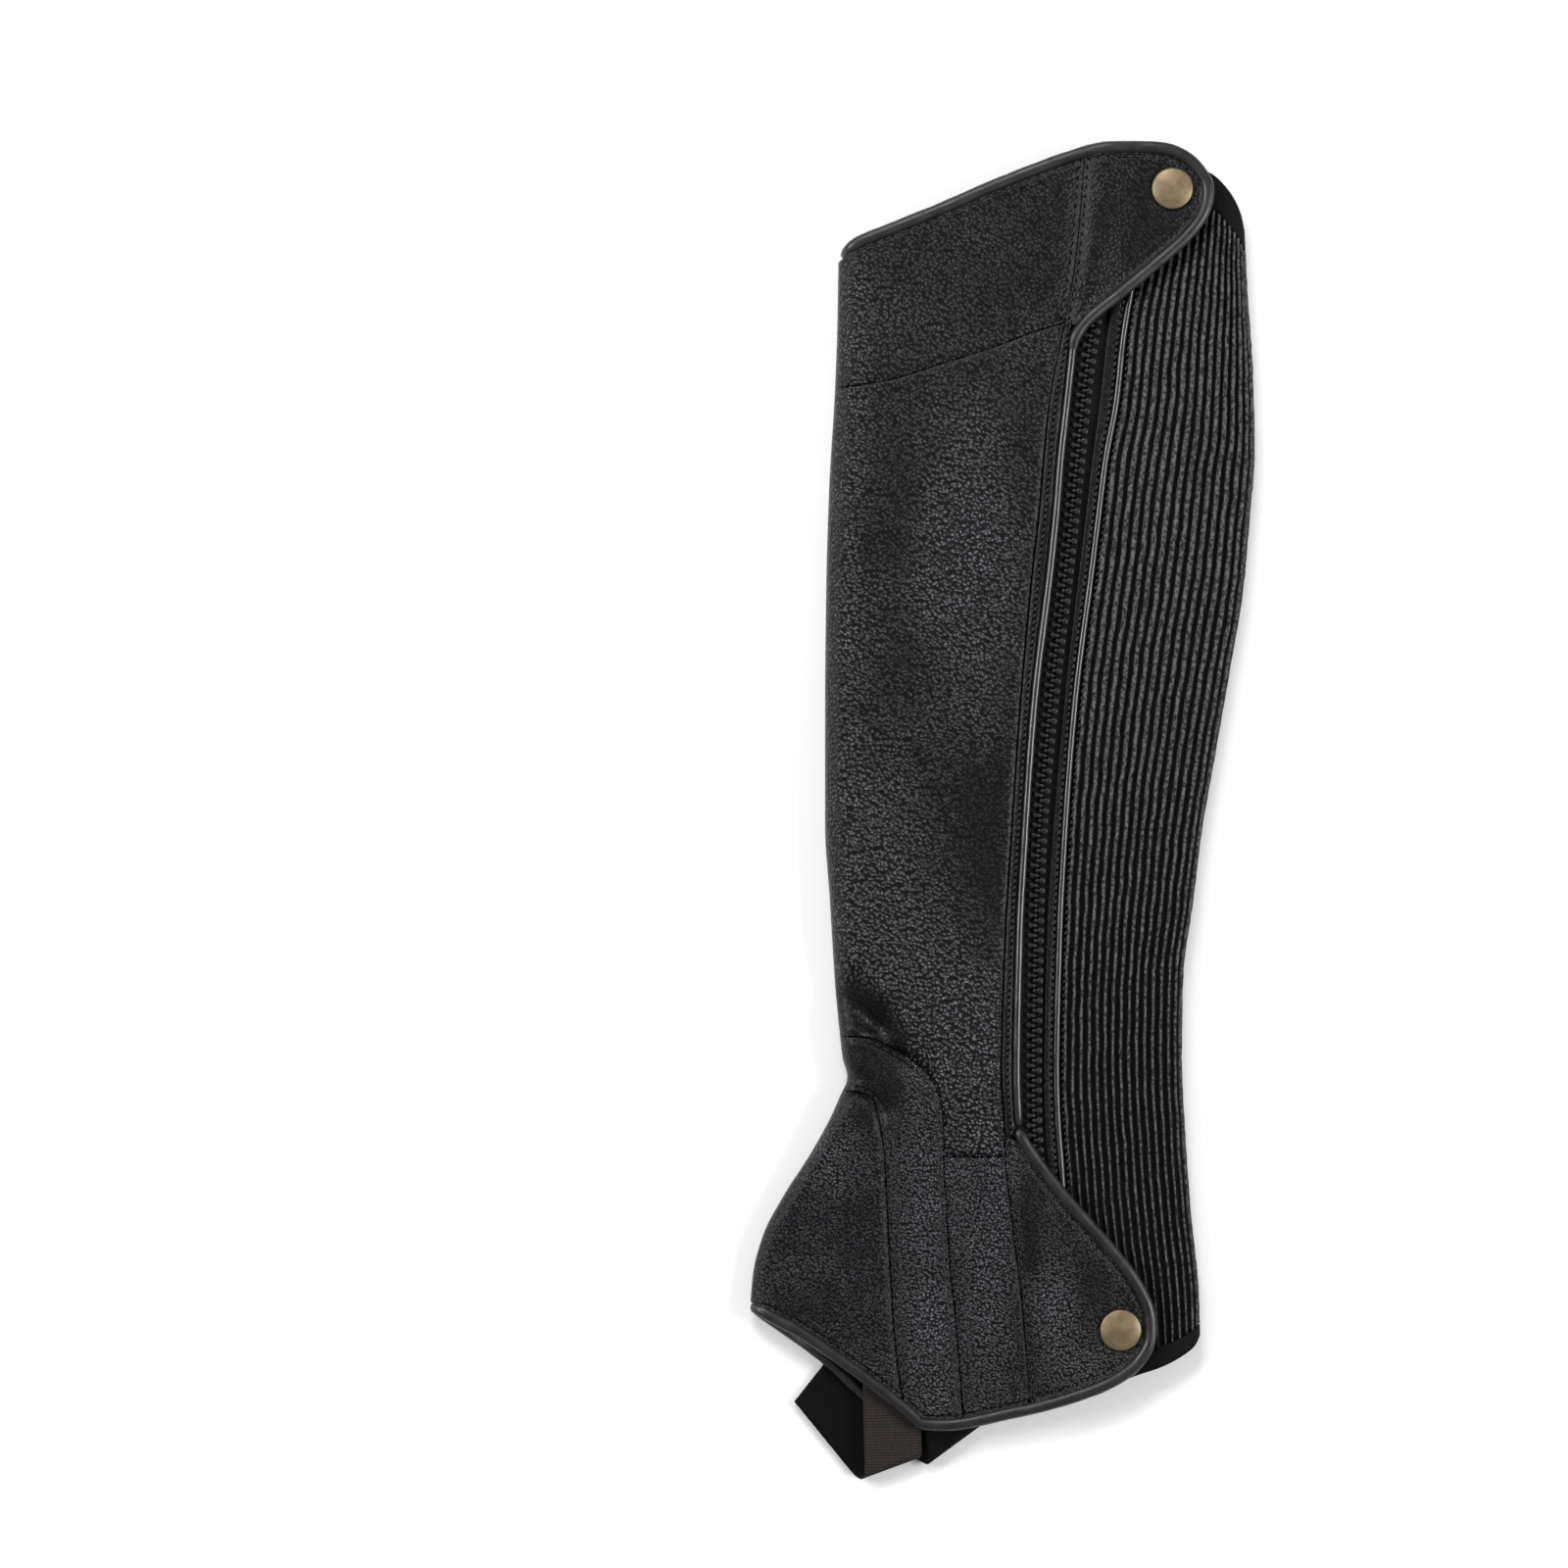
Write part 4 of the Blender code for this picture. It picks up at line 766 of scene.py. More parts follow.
def stitches(name, lines, pitch=STITCH, share=0.74, radius=0.27, slant=0.0, raised=0.1, groove=True):
    """Rows of thread along paths that lie on a surface, each with its needle line."""
    ring_at = np.array([-0.5, -0.3, 0.3, 0.5])
    ring_size = np.array([0.45, 1.0, 1.0, 0.45])
    sides = 6
    angle = np.linspace(0, 2 * math.pi, sides, endpoint=False)
    verts, faces, dark_verts, dark_faces = [], [], [], []
    total, dark_total = 0, 0
    for path in lines:
        size = length_of(path)
        count = max(int(size / pitch), 1)
        centres = even(path, (np.arange(count) + 0.5) / count)
        ahead = even(path, np.clip((np.arange(count) + 0.5) / count + 0.15 / count, 0, 1))
        behind = even(path, np.clip((np.arange(count) + 0.5) / count - 0.15 / count, 0, 1))
        t = ahead - behind
        t /= np.linalg.norm(t, axis=1)[:, None]
        s = np.cross(t, [0.0, 0.0, 1.0])
        s /= np.linalg.norm(s, axis=1)[:, None]
        n = np.cross(s, t)
        turn = math.radians(slant)
        along = t * math.cos(turn) + s * math.sin(turn)
        across = s * math.cos(turn) - t * math.sin(turn)
        for k in range(count):
            wobble = 1.0 + 0.12 * math.sin(k * 2.3)
            ring = (
                centres[k]
                + n[k] * raised
                + along[k] * (ring_at * pitch * share * wobble)[:, None, None]
                + across[k] * (ring_size[:, None] * radius * np.cos(angle))[..., None]
                + n[k] * (ring_size[:, None] * radius * np.sin(angle))[..., None]
            )
            verts.append(ring.reshape(-1, 3))
            for i in range(3):
                for a in range(sides):
                    b = (a + 1) % sides
                    faces.append((total + i * sides + a, total + (i + 1) * sides + a, total + (i + 1) * sides + b, total + i * sides + b))
            faces.append(tuple(total + a for a in range(sides)))
            faces.append(tuple(total + 3 * sides + a for a in reversed(range(sides))))
            total += 4 * sides
        if groove:
            # Needle holes between one stitch and the next, pulled long by the thread, as near-black dimples: painted
            # shade for the dark inside each hole.
            holes = even(path, np.arange(count + 1) / count)
            t = np.gradient(holes, axis=0)
            t /= np.linalg.norm(t, axis=1)[:, None]
            s = np.cross(t, [0.0, 0.0, 1.0])
            s /= np.linalg.norm(s, axis=1)[:, None]
            n = np.cross(s, t)
            around = np.linspace(0, 2 * math.pi, 10, endpoint=False)
            for k in range(count + 1):
                rim = (
                    holes[k]
                    + t[k] * (0.33 * pitch * np.cos(around))[:, None]
                    + s[k] * (1.9 * radius * np.sin(around))[:, None]
                )
                low, high = rim - n[k] * 0.3, holes[k] + (rim - holes[k]) * 0.8 + n[k] * 0.07
                dark_verts.append(np.concatenate([low, high]))
                for a in range(10):
                    b = (a + 1) % 10
                    dark_faces.append((dark_total + a, dark_total + 10 + a, dark_total + 10 + b, dark_total + b))
                dark_faces.append(tuple(dark_total + 10 + a for a in reversed(range(10))))
                dark_faces.append(tuple(dark_total + a for a in range(10)))
                dark_total += 20
    made = [piece(name, np.concatenate(verts), faces, THREAD_PAINT)]
    if groove:
        made.append(piece(name + "_needle_holes", np.concatenate(dark_verts), dark_faces, NEEDLE_HOLE_SHADE_PAINT, smooth=False))
    return made


def flat_of(grid):
    """(width, length) and area in metres of a grid laid flat."""
    rows = [length_of(r[~np.isnan(r[:, 0])]) for r in grid if (~np.isnan(r[:, 0])).sum() > 1]
    cols = [length_of(c[~np.isnan(c[:, 0])]) for c in grid.transpose(1, 0, 2) if (~np.isnan(c[:, 0])).sum() > 1]
    a, b, c, d = grid[:-1, :-1], grid[1:, :-1], grid[1:, 1:], grid[:-1, 1:]
    area = 0.5 * np.linalg.norm(np.cross(c - a, d - b), axis=2)
    width, length = max(rows) * MM, max(cols) * MM
    # The frame takes no side under 10 mm: a narrower tape is a part of that blank, by its area.
    cloth = float(min(np.nansum(area) * MM * MM, width * length))
    return (max(width, 0.01), max(length, 0.01)), cloth


def declare(grid):
    flat, area = flat_of(grid)


# ---- leather panels ------------------------------------------------------------------------------
FOLD_IN = (0.12, 0.5, 1.1, 1.9, 2.9, 4.1, 5.4)  # columns close together beside a fold
SEAM_IN = (0.35, 0.75, 1.15, 1.55, 1.95, 2.6, 3.4)  # and beside a seam with its stitched row
STEP = 1.7
JOIN = 0.1  # half the gap of a closed seam
EDGE_ROW, YOKE_ROW = 5.3, 4.75  # distance of the stitched row from the outline of a tab, and of the rest
SEAM_ROW = 1.5  # and of one beside a seam


def tied(path, start, end):
    """A path between two given points, without what lies behind either of them."""
    path = np.asarray(path, float)
    first, last = 0, len(path) - 1
    while first < last - 1 and (path[first] - start) @ (path[first + 1] - path[first]) <= 0.01:
        first += 1
    while last > first + 1 and (end - path[last]) @ (path[last] - path[last - 1]) <= 0.01:
        last -= 1
    return np.vstack([start, path[first : last + 1], end])


def meet(a, b):
    """Where two dense paths come closest, as an index in each."""
    gap = np.linalg.norm(a[:, None] - b[None], axis=2)
    i, j = np.unravel_index(int(gap.argmin()), gap.shape)
    return int(i), int(j)


def upright(x_of, high, low, shift=0.0, count=60):
    y = np.linspace(high, low, count)
    return np.stack([x_of(y) + shift, y], 1)


top_mark = top_edge.nearest(28.6, 230.8)
foot = top_edge.nearest(28.4, 166.4)
hem_mark = hem.nearest(9.4, -209.8)
plan = {
    "yoke": yoke_seam.path(0, yoke_seam.last, 0, 40),
    "inner_yoke": inner_yoke_seam.path(0, inner_yoke_seam.last, 0, 40),
    "instep_out": instep_out.path(0, 11, 0, 70),
    "instep_in": instep_in.path(0, 11, 0, 60),
    "guard": upright(seam, 168.6, -210),
    "elastic": upright(elastic, 228, -204),
    "ankle": np.array([(-20.7, -120.25), (0.5, -120.25)]),
    "inner_ankle": np.array([(-20.7, -120.25), (21.0, -120.25)]),
}
rows_of = {
    "top_yoke": top_edge.path(1.0, top_mark, -YOKE_ROW, 150),
    "top_tab": top_edge.path(top_mark, foot + 0.5, -EDGE_ROW, 220),
    "hem_foot": hem.path(0.9, hem_mark, YOKE_ROW, 150),
    "hem_tab": hem.path(hem_mark, hem.last - 0.5, EDGE_ROW, 220),
    "yoke_left": upright(seam, 226.0, 170.5, -SEAM_ROW),
    "yoke_right": upright(seam, 226.0, 170.5, SEAM_ROW),
    "tab": upright(seam, -116.0, -205.0, SEAM_ROW),
    "instep_out": instep_out.path(0.5, 10.9, -SEAM_ROW, 120),
    "instep_in": instep_in.path(0.8, 10.9, SEAM_ROW, 110),
}
# The turned edge of the binding shows as a fine ridge inside its stitched row.
RIDGES = [top_edge.path(0.8, top_mark, -YOKE_ROW - 1.15, 120), hem.path(0.7, hem_mark, YOKE_ROW + 1.15, 120)]
OUTER_SEAMS = [plan[k] for k in ("yoke", "instep_out", "instep_in", "guard", "ankle")]
INNER_SEAMS = [plan[k] for k in ("inner_yoke", "instep_out", "instep_in", "elastic", "inner_ankle")]
OUTER_ROWS = list(rows_of.values())


def relief(x, y, side=1):
    """How far the leather stands over its plain face: seams and stitched rows pull it down."""
    d = line_distance(x, y, OUTER_SEAMS if side > 0 else INNER_SEAMS)
    deep = 1.0 - 0.6 * ramp((y - 125.0) / 20.0) + 0.25 * ramp((-75.0 - y) / 15.0)
    z = deep * (0.22 * np.exp(-(((d - 2.7) / 1.1) ** 2)) - 0.65 * np.exp(-((d / 0.75) ** 2)))
    if side > 0:
        d = line_distance(x, y, OUTER_ROWS)
        flat = 1.0 - 0.75 * ramp((y - 160.0) / 8.0) * np.exp(-(((x - seam(y)) / 4.0) ** 4))
        z = z + flat * (0.14 * np.exp(-(((d - 1.15) / 0.55) ** 2)) - 0.4 * np.exp(-((d / 0.45) ** 2)))
        z = z + 0.24 * np.exp(-((line_distance(x, y, RIDGES) / 0.32) ** 2))
    return z if side > 0 else np.minimum(z, 0.0)


def skin(x, y, side=1, drop=0.0, plain=False):
    z = face(x, y, side, drop)
    if not plain:
        z = z + side * turn_of(x, y) * relief(x, y, side)
        if side > 0:
            # Only the yoke and the ankle rise towards their tabs; the leg lies flat beside the guard.
            z = z + np.where((x < seam(y)) & ((y > 160.0) | (y < -118.0)), lift(x, y), 0.0)
    return z


def draped(rows, side, drop=0.0, plain=False):
    """Plan rows lifted on to the tube."""
    x, y = rows[..., 0], rows[..., 1]
    return np.concatenate([rows, skin(x, y, side, drop, plain)[..., None]], 2)


def wrap(outer, inner, drop=0.0, fold_first=True, plain=False):
    above = draped(outer, 1, drop, plain)
    below = draped(inner, -1, drop, plain)[:, 1:]
    both = [below[:, ::-1], above] if fold_first else [above[:, ::-1], below]
    return np.concatenate(both, 1)


# Where the leather has been rubbed or pulled tight its grain stands out, and the same rows paint a highlight on the
# pebble tops; rows with a negative amount paint shade, as along the throat's crease: x, y, half width, half height,
# amount.
WEAR_AND_PAINTED_LIGHT = (
    (-13.0, 90.0, 14.0, 40.0, 0.95),
    (-55.0, 45.0, 5.5, 105.0, 0.5),
    (-52.0, 160.0, 5.0, 40.0, 0.45),
    (-44.0, -15.0, 14.0, 40.0, 0.42),
    (-17.0, -76.0, 19.0, 25.0, 0.95),
    (-34.0, -44.0, 18.0, 18.0, 0.25),
    (-2.0, -95.0, 7.0, 30.0, 0.35),
    (-52.0, -64.0, 7.0, 7.0, -0.5),
    (-45.0, -72.0, 7.0, 7.0, -0.7),
    (-38.0, -80.0, 7.0, 7.0, -0.6),
    (-43.0, -93.0, 13.0, 15.0, -0.6),
    (-6.0, -22.0, 12.0, 34.0, -0.2),
    (-28.0, -140.0, 7.5, 40.0, 0.6),
    (-24.0, -190.0, 7.0, 22.0, 0.7),
    (-5.0, -148.0, 8.0, 40.0, 0.85),
    (-20.0, -120.0, 9.0, 30.0, 0.2),
    (-58.0, -120.0, 11.0, 15.0, 0.5),
    (17.0, -173.0, 6.0, 11.0, 1.1),
    (30.0, -165.0, 6.0, 12.0, -0.15),
    (24.0, -190.0, 10.0, 8.0, 0.45),
    (8.0, -150.0, 5.0, 36.0, -0.25),
    (-33.0, 165.0, 30.0, 12.0, 0.12),
    (48.0, 212.0, 30.0, 30.0, -0.2),
    (12.0, 205.0, 16.0, 26.0, -0.12),
)


# Painted highlight and painted shade: this sets how light the pebble tops are painted at each point, as well as how
# far the grain stands out.
def wear_and_painted_light(grid):
    x, y = np.nan_to_num(grid[..., 0]), np.nan_to_num(grid[..., 1])
    amount = 0.16 + 0.12 * lumps(x, y, 21.0, 5)
    for cx, cy, rx, ry, a in WEAR_AND_PAINTED_LIGHT:
        amount = amount + a * np.exp(-(((x - cx) / rx) ** 2) - ((y - cy) / ry) ** 2)
    return np.clip(amount, 0.0, 1.0)


def laid_out(grid):
    """Where each point lies on the cut leather: the plan, with the fold rolled flat."""
    x, y, z = grid[..., 0], grid[..., 1], grid[..., 2]
    r = fold_radius(y)
    d = np.clip(x - shin(y), 0.0, None)
    turned = np.arccos(1.0 - np.clip(d / r, 0.0, 1.0)) * r + np.clip(d - r, 0.0, None)
    over = z > (crown(x, y) + under(x, y)) / 2
    return np.where(over, shin(y) + turned, shin(y) - turned), y


def leather_piece(name, grid, thickness, node, paint=LEATHER_PAINT):
    return shell(name, grid, thickness, paint, [node], shade=wear_and_painted_light(grid), uv=laid_out(grid))


def leg_rows(upper_seam, edge):
    down = marks(225.0, STEP, SEAM_IN, SEAM_IN)
    left_a, left_b = marks(42.0, STEP, FOLD_IN), marks(24.0, STEP, (), SEAM_IN)
    fold = np.array([(shin(y), y) for y in 146.3 + (-78.1 - 146.3) * down])
    low_line = tied(instep_out.path(0, 5, JOIN), fold[-1], instep_out.beside(5, JOIN))
    corner, end = low_line[-1], np.array([edge(-98.9) - JOIN, -98.9])
    bottom = np.concatenate([even(low_line, left_a), corner + (end - corner) * left_b[1:, None]])
    right_line = upright(lambda y: edge(y) - JOIN, 190.0, 120.0, 0.0, 700)
    top_line = upper_seam.path(0, upper_seam.last, -JOIN)
    i, j = meet(right_line, top_line)
    ys = right_line[i][1] + (-98.9 - right_line[i][1]) * down
    side = np.stack([edge(ys) - JOIN, ys], 1)
    top_line = tied(top_line, fold[0], side[0])
    top = even(top_line, np.concatenate([left_a * 0.62, 0.62 + left_b[1:] * 0.38]))
    rows = patch(top, bottom, fold, side)
    t = np.linspace(5, 7, 200)
    line = instep_out.path(5, 7, JOIN, 200)
    extra = []
    for y in -98.9 + (-120.2 + 98.9) * marks(21.0, STEP, (), SEAM_IN)[1:]:
        x = np.interp(-y, -instep_out.y(t), line[:, 0])
        row = np.full((rows.shape[1], 2), np.nan)
        k = len(left_a) - 1
        row[k:, 0] = x + (edge(y) - JOIN - x) * left_b
        row[k:, 1] = y
        extra.append(row)
    return np.concatenate([rows, np.array(extra)])


leg_grid = wrap(leg_rows(yoke_seam, seam), leg_rows(inner_yoke_seam, elastic))
leg = leather_piece("leg_leather", leg_grid, LEATHER, "leg_panel")


def yoke_rows(edge_line, first, mark, low_line, edge, edge_y):
    down = marks(58.0, STEP, SEAM_IN, SEAM_IN)
    across = marks(82.0, STEP, FOLD_IN, SEAM_IN)
    ys = 190.4 + (146.6 - 190.4) * down
    fold = np.stack([shin(ys), ys], 1)
    ys = edge_y[0] + (edge_y[1] - edge_y[0]) * down
    side = np.stack([edge(ys) - JOIN, ys], 1)
    top = even(tied(edge_line.path(first, mark, -EDGE_IN + 0.4), fold[0], side[0]), across)
    bottom = even(tied(low_line.path(0, low_line.last, JOIN), fold[-1], side[-1]), across)
    return patch(top, bottom, fold, side)


yoke_grid = wrap(
    yoke_rows(top_edge, 0.55, top_mark, yoke_seam, seam, (226.6, 169.3)),
    yoke_rows(inner_top_edge, 0.6, inner_top_edge.last, inner_yoke_seam, elastic, (224.6, 172.2)),
)
yoke = leather_piece("yoke_leather", yoke_grid, LEATHER, "yoke_panel")


def instep_rows(edge_line, inset):
    edge = edge_line.path(0, edge_line.last, inset, 1500)
    upper, lower = instep_out.path(0, 11.3, -JOIN, 900), instep_in.path(0, 11.3, JOIN, 900)
    (i, a), (k, b) = meet(upper, edge), meet(lower, edge)
    across = marks(19.0, STEP, SEAM_IN, SEAM_IN)
    ys = -78.15 + (-97.6 + 78.15) * across
    start = np.stack([shin(ys), ys], 1)
    end = even(edge[a : b + 1] if a < b else edge[b : a + 1][::-1], across)
    along = marks(length_of(upper[: i + 1]), STEP, FOLD_IN, SEAM_IN)
    upper = even(tied(upper[:i], start[0], end[0]), along)
    lower = even(tied(lower[:k], start[-1], end[-1]), along)
    return patch(upper, lower, start, end)


instep_grid = wrap(instep_rows(hem, EDGE_IN - 0.4), instep_rows(inner_hem, INNER_IN))
instep = leather_piece("instep_leather", instep_grid, LEATHER, "instep_panel", FOOT_PAINT)


def vamp_rows(edge_line, inset):
    edge = edge_line.path(0.6, edge_line.last, inset, 1500)
    line = instep_in.path(0, 11.3, -JOIN, 900)
    down = marks(95.0, STEP, SEAM_IN, SEAM_IN)
    across = marks(34.0, STEP * 0.8, FOLD_IN, SEAM_IN)
    i, a = meet(line, edge)
    ys = -97.9 + (-171.0 + 97.9) * down
    left = np.stack([shin(ys), ys], 1)
    bend_at = int(i * 2 / 11)
    right = even(tied(line[bend_at:i], line[bend_at], edge[a]), down)
    top = even(tied(line[: bend_at + 1], left[0], right[0]), across)
    bottom = even(tied(edge[: a + 1], left[-1], right[-1]), across)
    return patch(top, bottom, left, right)


vamp_grid = wrap(vamp_rows(hem, EDGE_IN - 0.4), vamp_rows(inner_hem, INNER_IN))
vamp = leather_piece("vamp_leather", vamp_grid, LEATHER, "vamp_panel", FOOT_PAINT)


def ankle_rows(edge_line, inset, edge_x):
    edge = edge_line.path(0, edge_line.last, inset, 1500)
    line = instep_out.path(7, 11.3, JOIN, 900)
    right_line = upright(lambda y: edge_x(y) - JOIN, -120.3, -212.0, 0.0, 900)
    (i, a), (k, b) = meet(line, edge), meet(right_line, edge)
    across = marks(25.0, STEP, SEAM_IN, SEAM_IN)
    down = marks(88.0, STEP, SEAM_IN, SEAM_IN)
    bottom = even(edge[a : b + 1], across)
    left = even(tied(line[:i], np.array([line[0][0], -120.3]), bottom[0]), down)
    right = even(tied(right_line[:k], right_line[0], bottom[-1]), down)
    return patch(even(np.array([left[0], right[0]]), across), bottom, left, right)


ankle_grid = draped(ankle_rows(hem, EDGE_IN - 0.4, seam), 1)
ankle = leather_piece("ankle_leather", ankle_grid, LEATHER, "ankle_panel", FOOT_PAINT)
inner_ankle_grid = draped(ankle_rows(inner_hem, INNER_IN, elastic), -1)[:, ::-1]
inner_ankle = leather_piece("inner_ankle_leather", inner_ankle_grid, LEATHER, "inner_ankle_panel", FOOT_PAINT)


# ---- tabs ---------------------------------------------------------------------------------------
def tab_skin(x, y):
    z = tab_top(x, y) + relief(x, y)
    z = z + 0.2 * lumps(x, y, 13.0, 9) * ramp((x - seam(y)) / 8.0)
    for cx, cy in SNAPS.values():
        z = z - 0.5 * np.exp(-((np.hypot(x - cx, y - cy) / (SNAP_RADIUS + 1.6)) ** 4))
    # A soft ridge where the lower tab goes over the edge of the ankle's lining.
    ridge = segment_distance(x, y, 12.8, -171.5, 14.4, -182.5)
    return z + 0.7 * np.exp(-((ridge / 2.6) ** 2))


def tab_grid(top, bottom, left, right):
    rows = patch(top, bottom, left, right)
    return np.concatenate([rows, tab_skin(rows[..., 0], rows[..., 1])[..., None]], 2)


corner = top_edge.nearest(70.4, 222.4)
turn = top_edge.nearest(69.4, 203.0)
down, across = marks(57.0, STEP, SEAM_IN, SEAM_IN), marks(42.0, STEP, SEAM_IN, SEAM_IN)
inset = -EDGE_IN + 0.4
ys = 226.6 + (168.2 - 226.6) * down
left = np.stack([seam(ys) + JOIN, ys], 1)
right = even(top_edge.path(corner, turn, inset), down)
top = even(tied(top_edge.path(top_mark, corner, inset), left[0], right[0]), across)
bottom = even(tied(top_edge.path(foot, turn, inset), left[-1], right[-1]), across)
upper_grid = tab_grid(top, bottom, left, right)
upper_tab = leather_piece("upper_tab_leather", upper_grid, TAB, "upper_tab")

tip = hem.nearest(47.9, -193.5)
low = hem.nearest(9.8, -209.6)
high = hem.nearest(9.4, -115.0)
down, across = marks(92.0, STEP, SEAM_IN, SEAM_IN), marks(38.0, STEP, SEAM_IN, SEAM_IN)
inset = EDGE_IN - 0.4
ys = -112.6 + (-205.9 + 112.6) * down
# Behind the seam's end the hem stands open, so the edges overlap there and no light comes through.
left = np.stack([seam(ys) + JOIN * (1.0 - 2.6 * ramp((-184.0 - ys) / 8.0)), ys], 1)
right = even(hem.path(high, tip, inset), down)
bottom = even(tied(hem.path(low, tip, inset), left[-1], right[-1]), across)
top = even(np.array([left[0], right[0]]), across)
lower_grid = tab_grid(top, bottom, left, right)
lower_tab = leather_piece("lower_tab_leather", lower_grid, TAB, "lower_tab", FOOT_PAINT)


# ---- zip guard, facing, tapes ------------------------------------------------------------------------
def strip_grid(high, low, left, right, lift, marks_in=(0.3, 0.8), step=1.2, puff=0.0, dy=2.0, tuck=0.0):
    ys = np.linspace(high, low, int((high - low) / dy) + 1)
    a, b = left(ys), right(ys)
    width = float(np.mean(b - a))
    f = marks(width, step, marks_in if width > 2.2 * marks_in[-1] else (), marks_in if width > 2.2 * marks_in[-1] else ())
    x = a[:, None] + (b - a)[:, None] * f[None]
    y = np.broadcast_to(ys[:, None], x.shape)
    edge_d = np.minimum(f, 1 - f)[None] * (b - a)[:, None]
    z = crown(x, y) + lift - puff * np.exp(-((edge_d / 0.55) ** 2)) - tuck * ramp((y - high + 3.5) / 3.0)
    return np.stack([x, y, z], 2)


guard_grid = strip_grid(170.0, -113.6, lambda y: seam(y) + SEAM, lambda y: guard(y) - 2 * GUARD_PIPING - 0.1, GUARD_TOP, puff=0.4, tuck=1.0)
guard_strip = shell("guard_leather", guard_grid, LEATHER, STRIP_PAINT, ["zip_guard"], shade=0.5 + 0 * guard_grid[..., 0], uv=True)
facing_grid = strip_grid(220.0, -198.0, facing, lambda y: elastic(y) - 2 * FACING_PIPING - 0.1, FACING_TOP, puff=0.35)
facing_strip = shell("facing_leather", facing_grid, 1.5, STRIP_PAINT, ["elastic_facing"], shade=0.5 + 0 * facing_grid[..., 0], uv=True)
front_grid = strip_grid(224.0, -200.0, lambda y: seam(y) + 1.2, lambda y: chain(y) - 0.35, TAPE_TOP, step=1.0)
front_tape = shell("front_zip_tape", front_grid, TAPE, TAPE_PAINT, ["zip_tape_front"], uv=True)
back_grid = strip_grid(224.0, -200.0, lambda y: chain(y) + 0.35, lambda y: facing(y) + 2.6, TAPE_TOP, step=1.0)
back_tape = shell("back_zip_tape", back_grid, TAPE, TAPE_PAINT, ["zip_tape_back"], uv=True)


def along_y(high, low, x_of, lift, dy=1.5):
    ys = np.linspace(high, low, int((high - low) / dy) + 1)
    x = x_of(ys)
    return np.stack([x, ys, crown(x, ys) + lift], 1)


guard_roll = sweep(
    "guard_rolled_piping",
    along_y(165.2, -109.6, lambda y: guard(y) - GUARD_PIPING, GUARD_PIPING_MID),
    GUARD_PIPING,
    GUARD_PIPING,
    (0, 0, 1),
    ROLL_PAINT,
    ["zip_guard_piping"],
    ripple=0.05,
)
facing_roll = sweep(
    "facing_rolled_piping",
    along_y(220.0, -190.5, lambda y: elastic(y) - FACING_PIPING, FACING_PIPING_MID),
    FACING_PIPING,
    FACING_PIPING,
    (0, 0, 1),
    ROLL_PAINT,
    ["elastic_facing_piping"],
    ripple=0.06,
)

# Zip teeth: outlines in millimetres, from the tape towards the middle of the zip.
ROUND_TOOTH = ((-2.9, 0.0), (-2.65, 0.72), (-2.0, 1.05), (-1.35, 0.8), (-0.95, 0.48), (-0.6, 0.5), (-0.15, 0.78), (0.4, 0.62), (0.68, 0.0))
SQUARE_TOOTH = ((-3.1, 0.0), (-3.05, 1.1), (-2.0, 1.2), (-1.3, 1.0), (-0.95, 0.48), (-0.6, 0.5), (-0.15, 0.78), (0.4, 0.62), (0.68, 0.0))
ZIP_HIGH, ZIP_LOW = 206.4, -197.6


def teeth():
    verts, faces, total = [], [], 0
    ys = np.arange(ZIP_HIGH, ZIP_LOW, -TOOTH_PITCH / 2)
    for k, y in enumerate(ys):
        left_side = k % 2 == 0
        half = ROUND_TOOTH if left_side else SQUARE_TOOTH
        outline = list(half) + [(u, -v) for u, v in reversed(half[1:-1])]
        toward = 1.0 if left_side else -1.0
        x = float(chain(y))
        lean = math.atan2(float(chain(y + 2) - chain(y - 2)), 4.0)
        top, base = float(crown(x, y)) + CHAIN_TOP, float(crown(x, y)) + TAPE_TOP
        count = len(outline)
        cu = sum(u for u, v in outline) / count
        for z, shrink in ((base, 1.0), (top - 0.5, 1.0), (top - 0.12, 0.86), (top, 0.6)):
            for u, v in outline:
                du, dv = cu + (u - cu) * shrink, v * shrink
                px = toward * du * math.cos(lean) + dv * math.sin(lean)
                py = -toward * du * math.sin(lean) + dv * math.cos(lean)
                verts.append((x + px, y + py, z))
        order = range(count) if left_side else range(count)
        for layer in range(3):
            for a in order:
                b = (a + 1) % count
                quad = (total + layer * count + a, total + layer * count + b, total + (layer + 1) * count + b, total + (layer + 1) * count + a)
                faces.append(quad[::-1] if left_side else quad)
        cap = tuple(total + 3 * count + a for a in range(count))
        faces.append(cap[::-1] if left_side else cap)
        base_cap = tuple(total + a for a in range(count))
        faces.append(base_cap if left_side else base_cap[::-1])
        total += 4 * count
    return verts, faces


verts, faces = teeth()
zip_teeth = piece("zip_teeth", verts, faces, ZIP_PAINT, ["zip_chain"])
for o in (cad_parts["zip_slider"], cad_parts["zip_pull"]):
    for k in range(len(o.material_slots)):
        o.material_slots[k].material = ZIP_PAINT


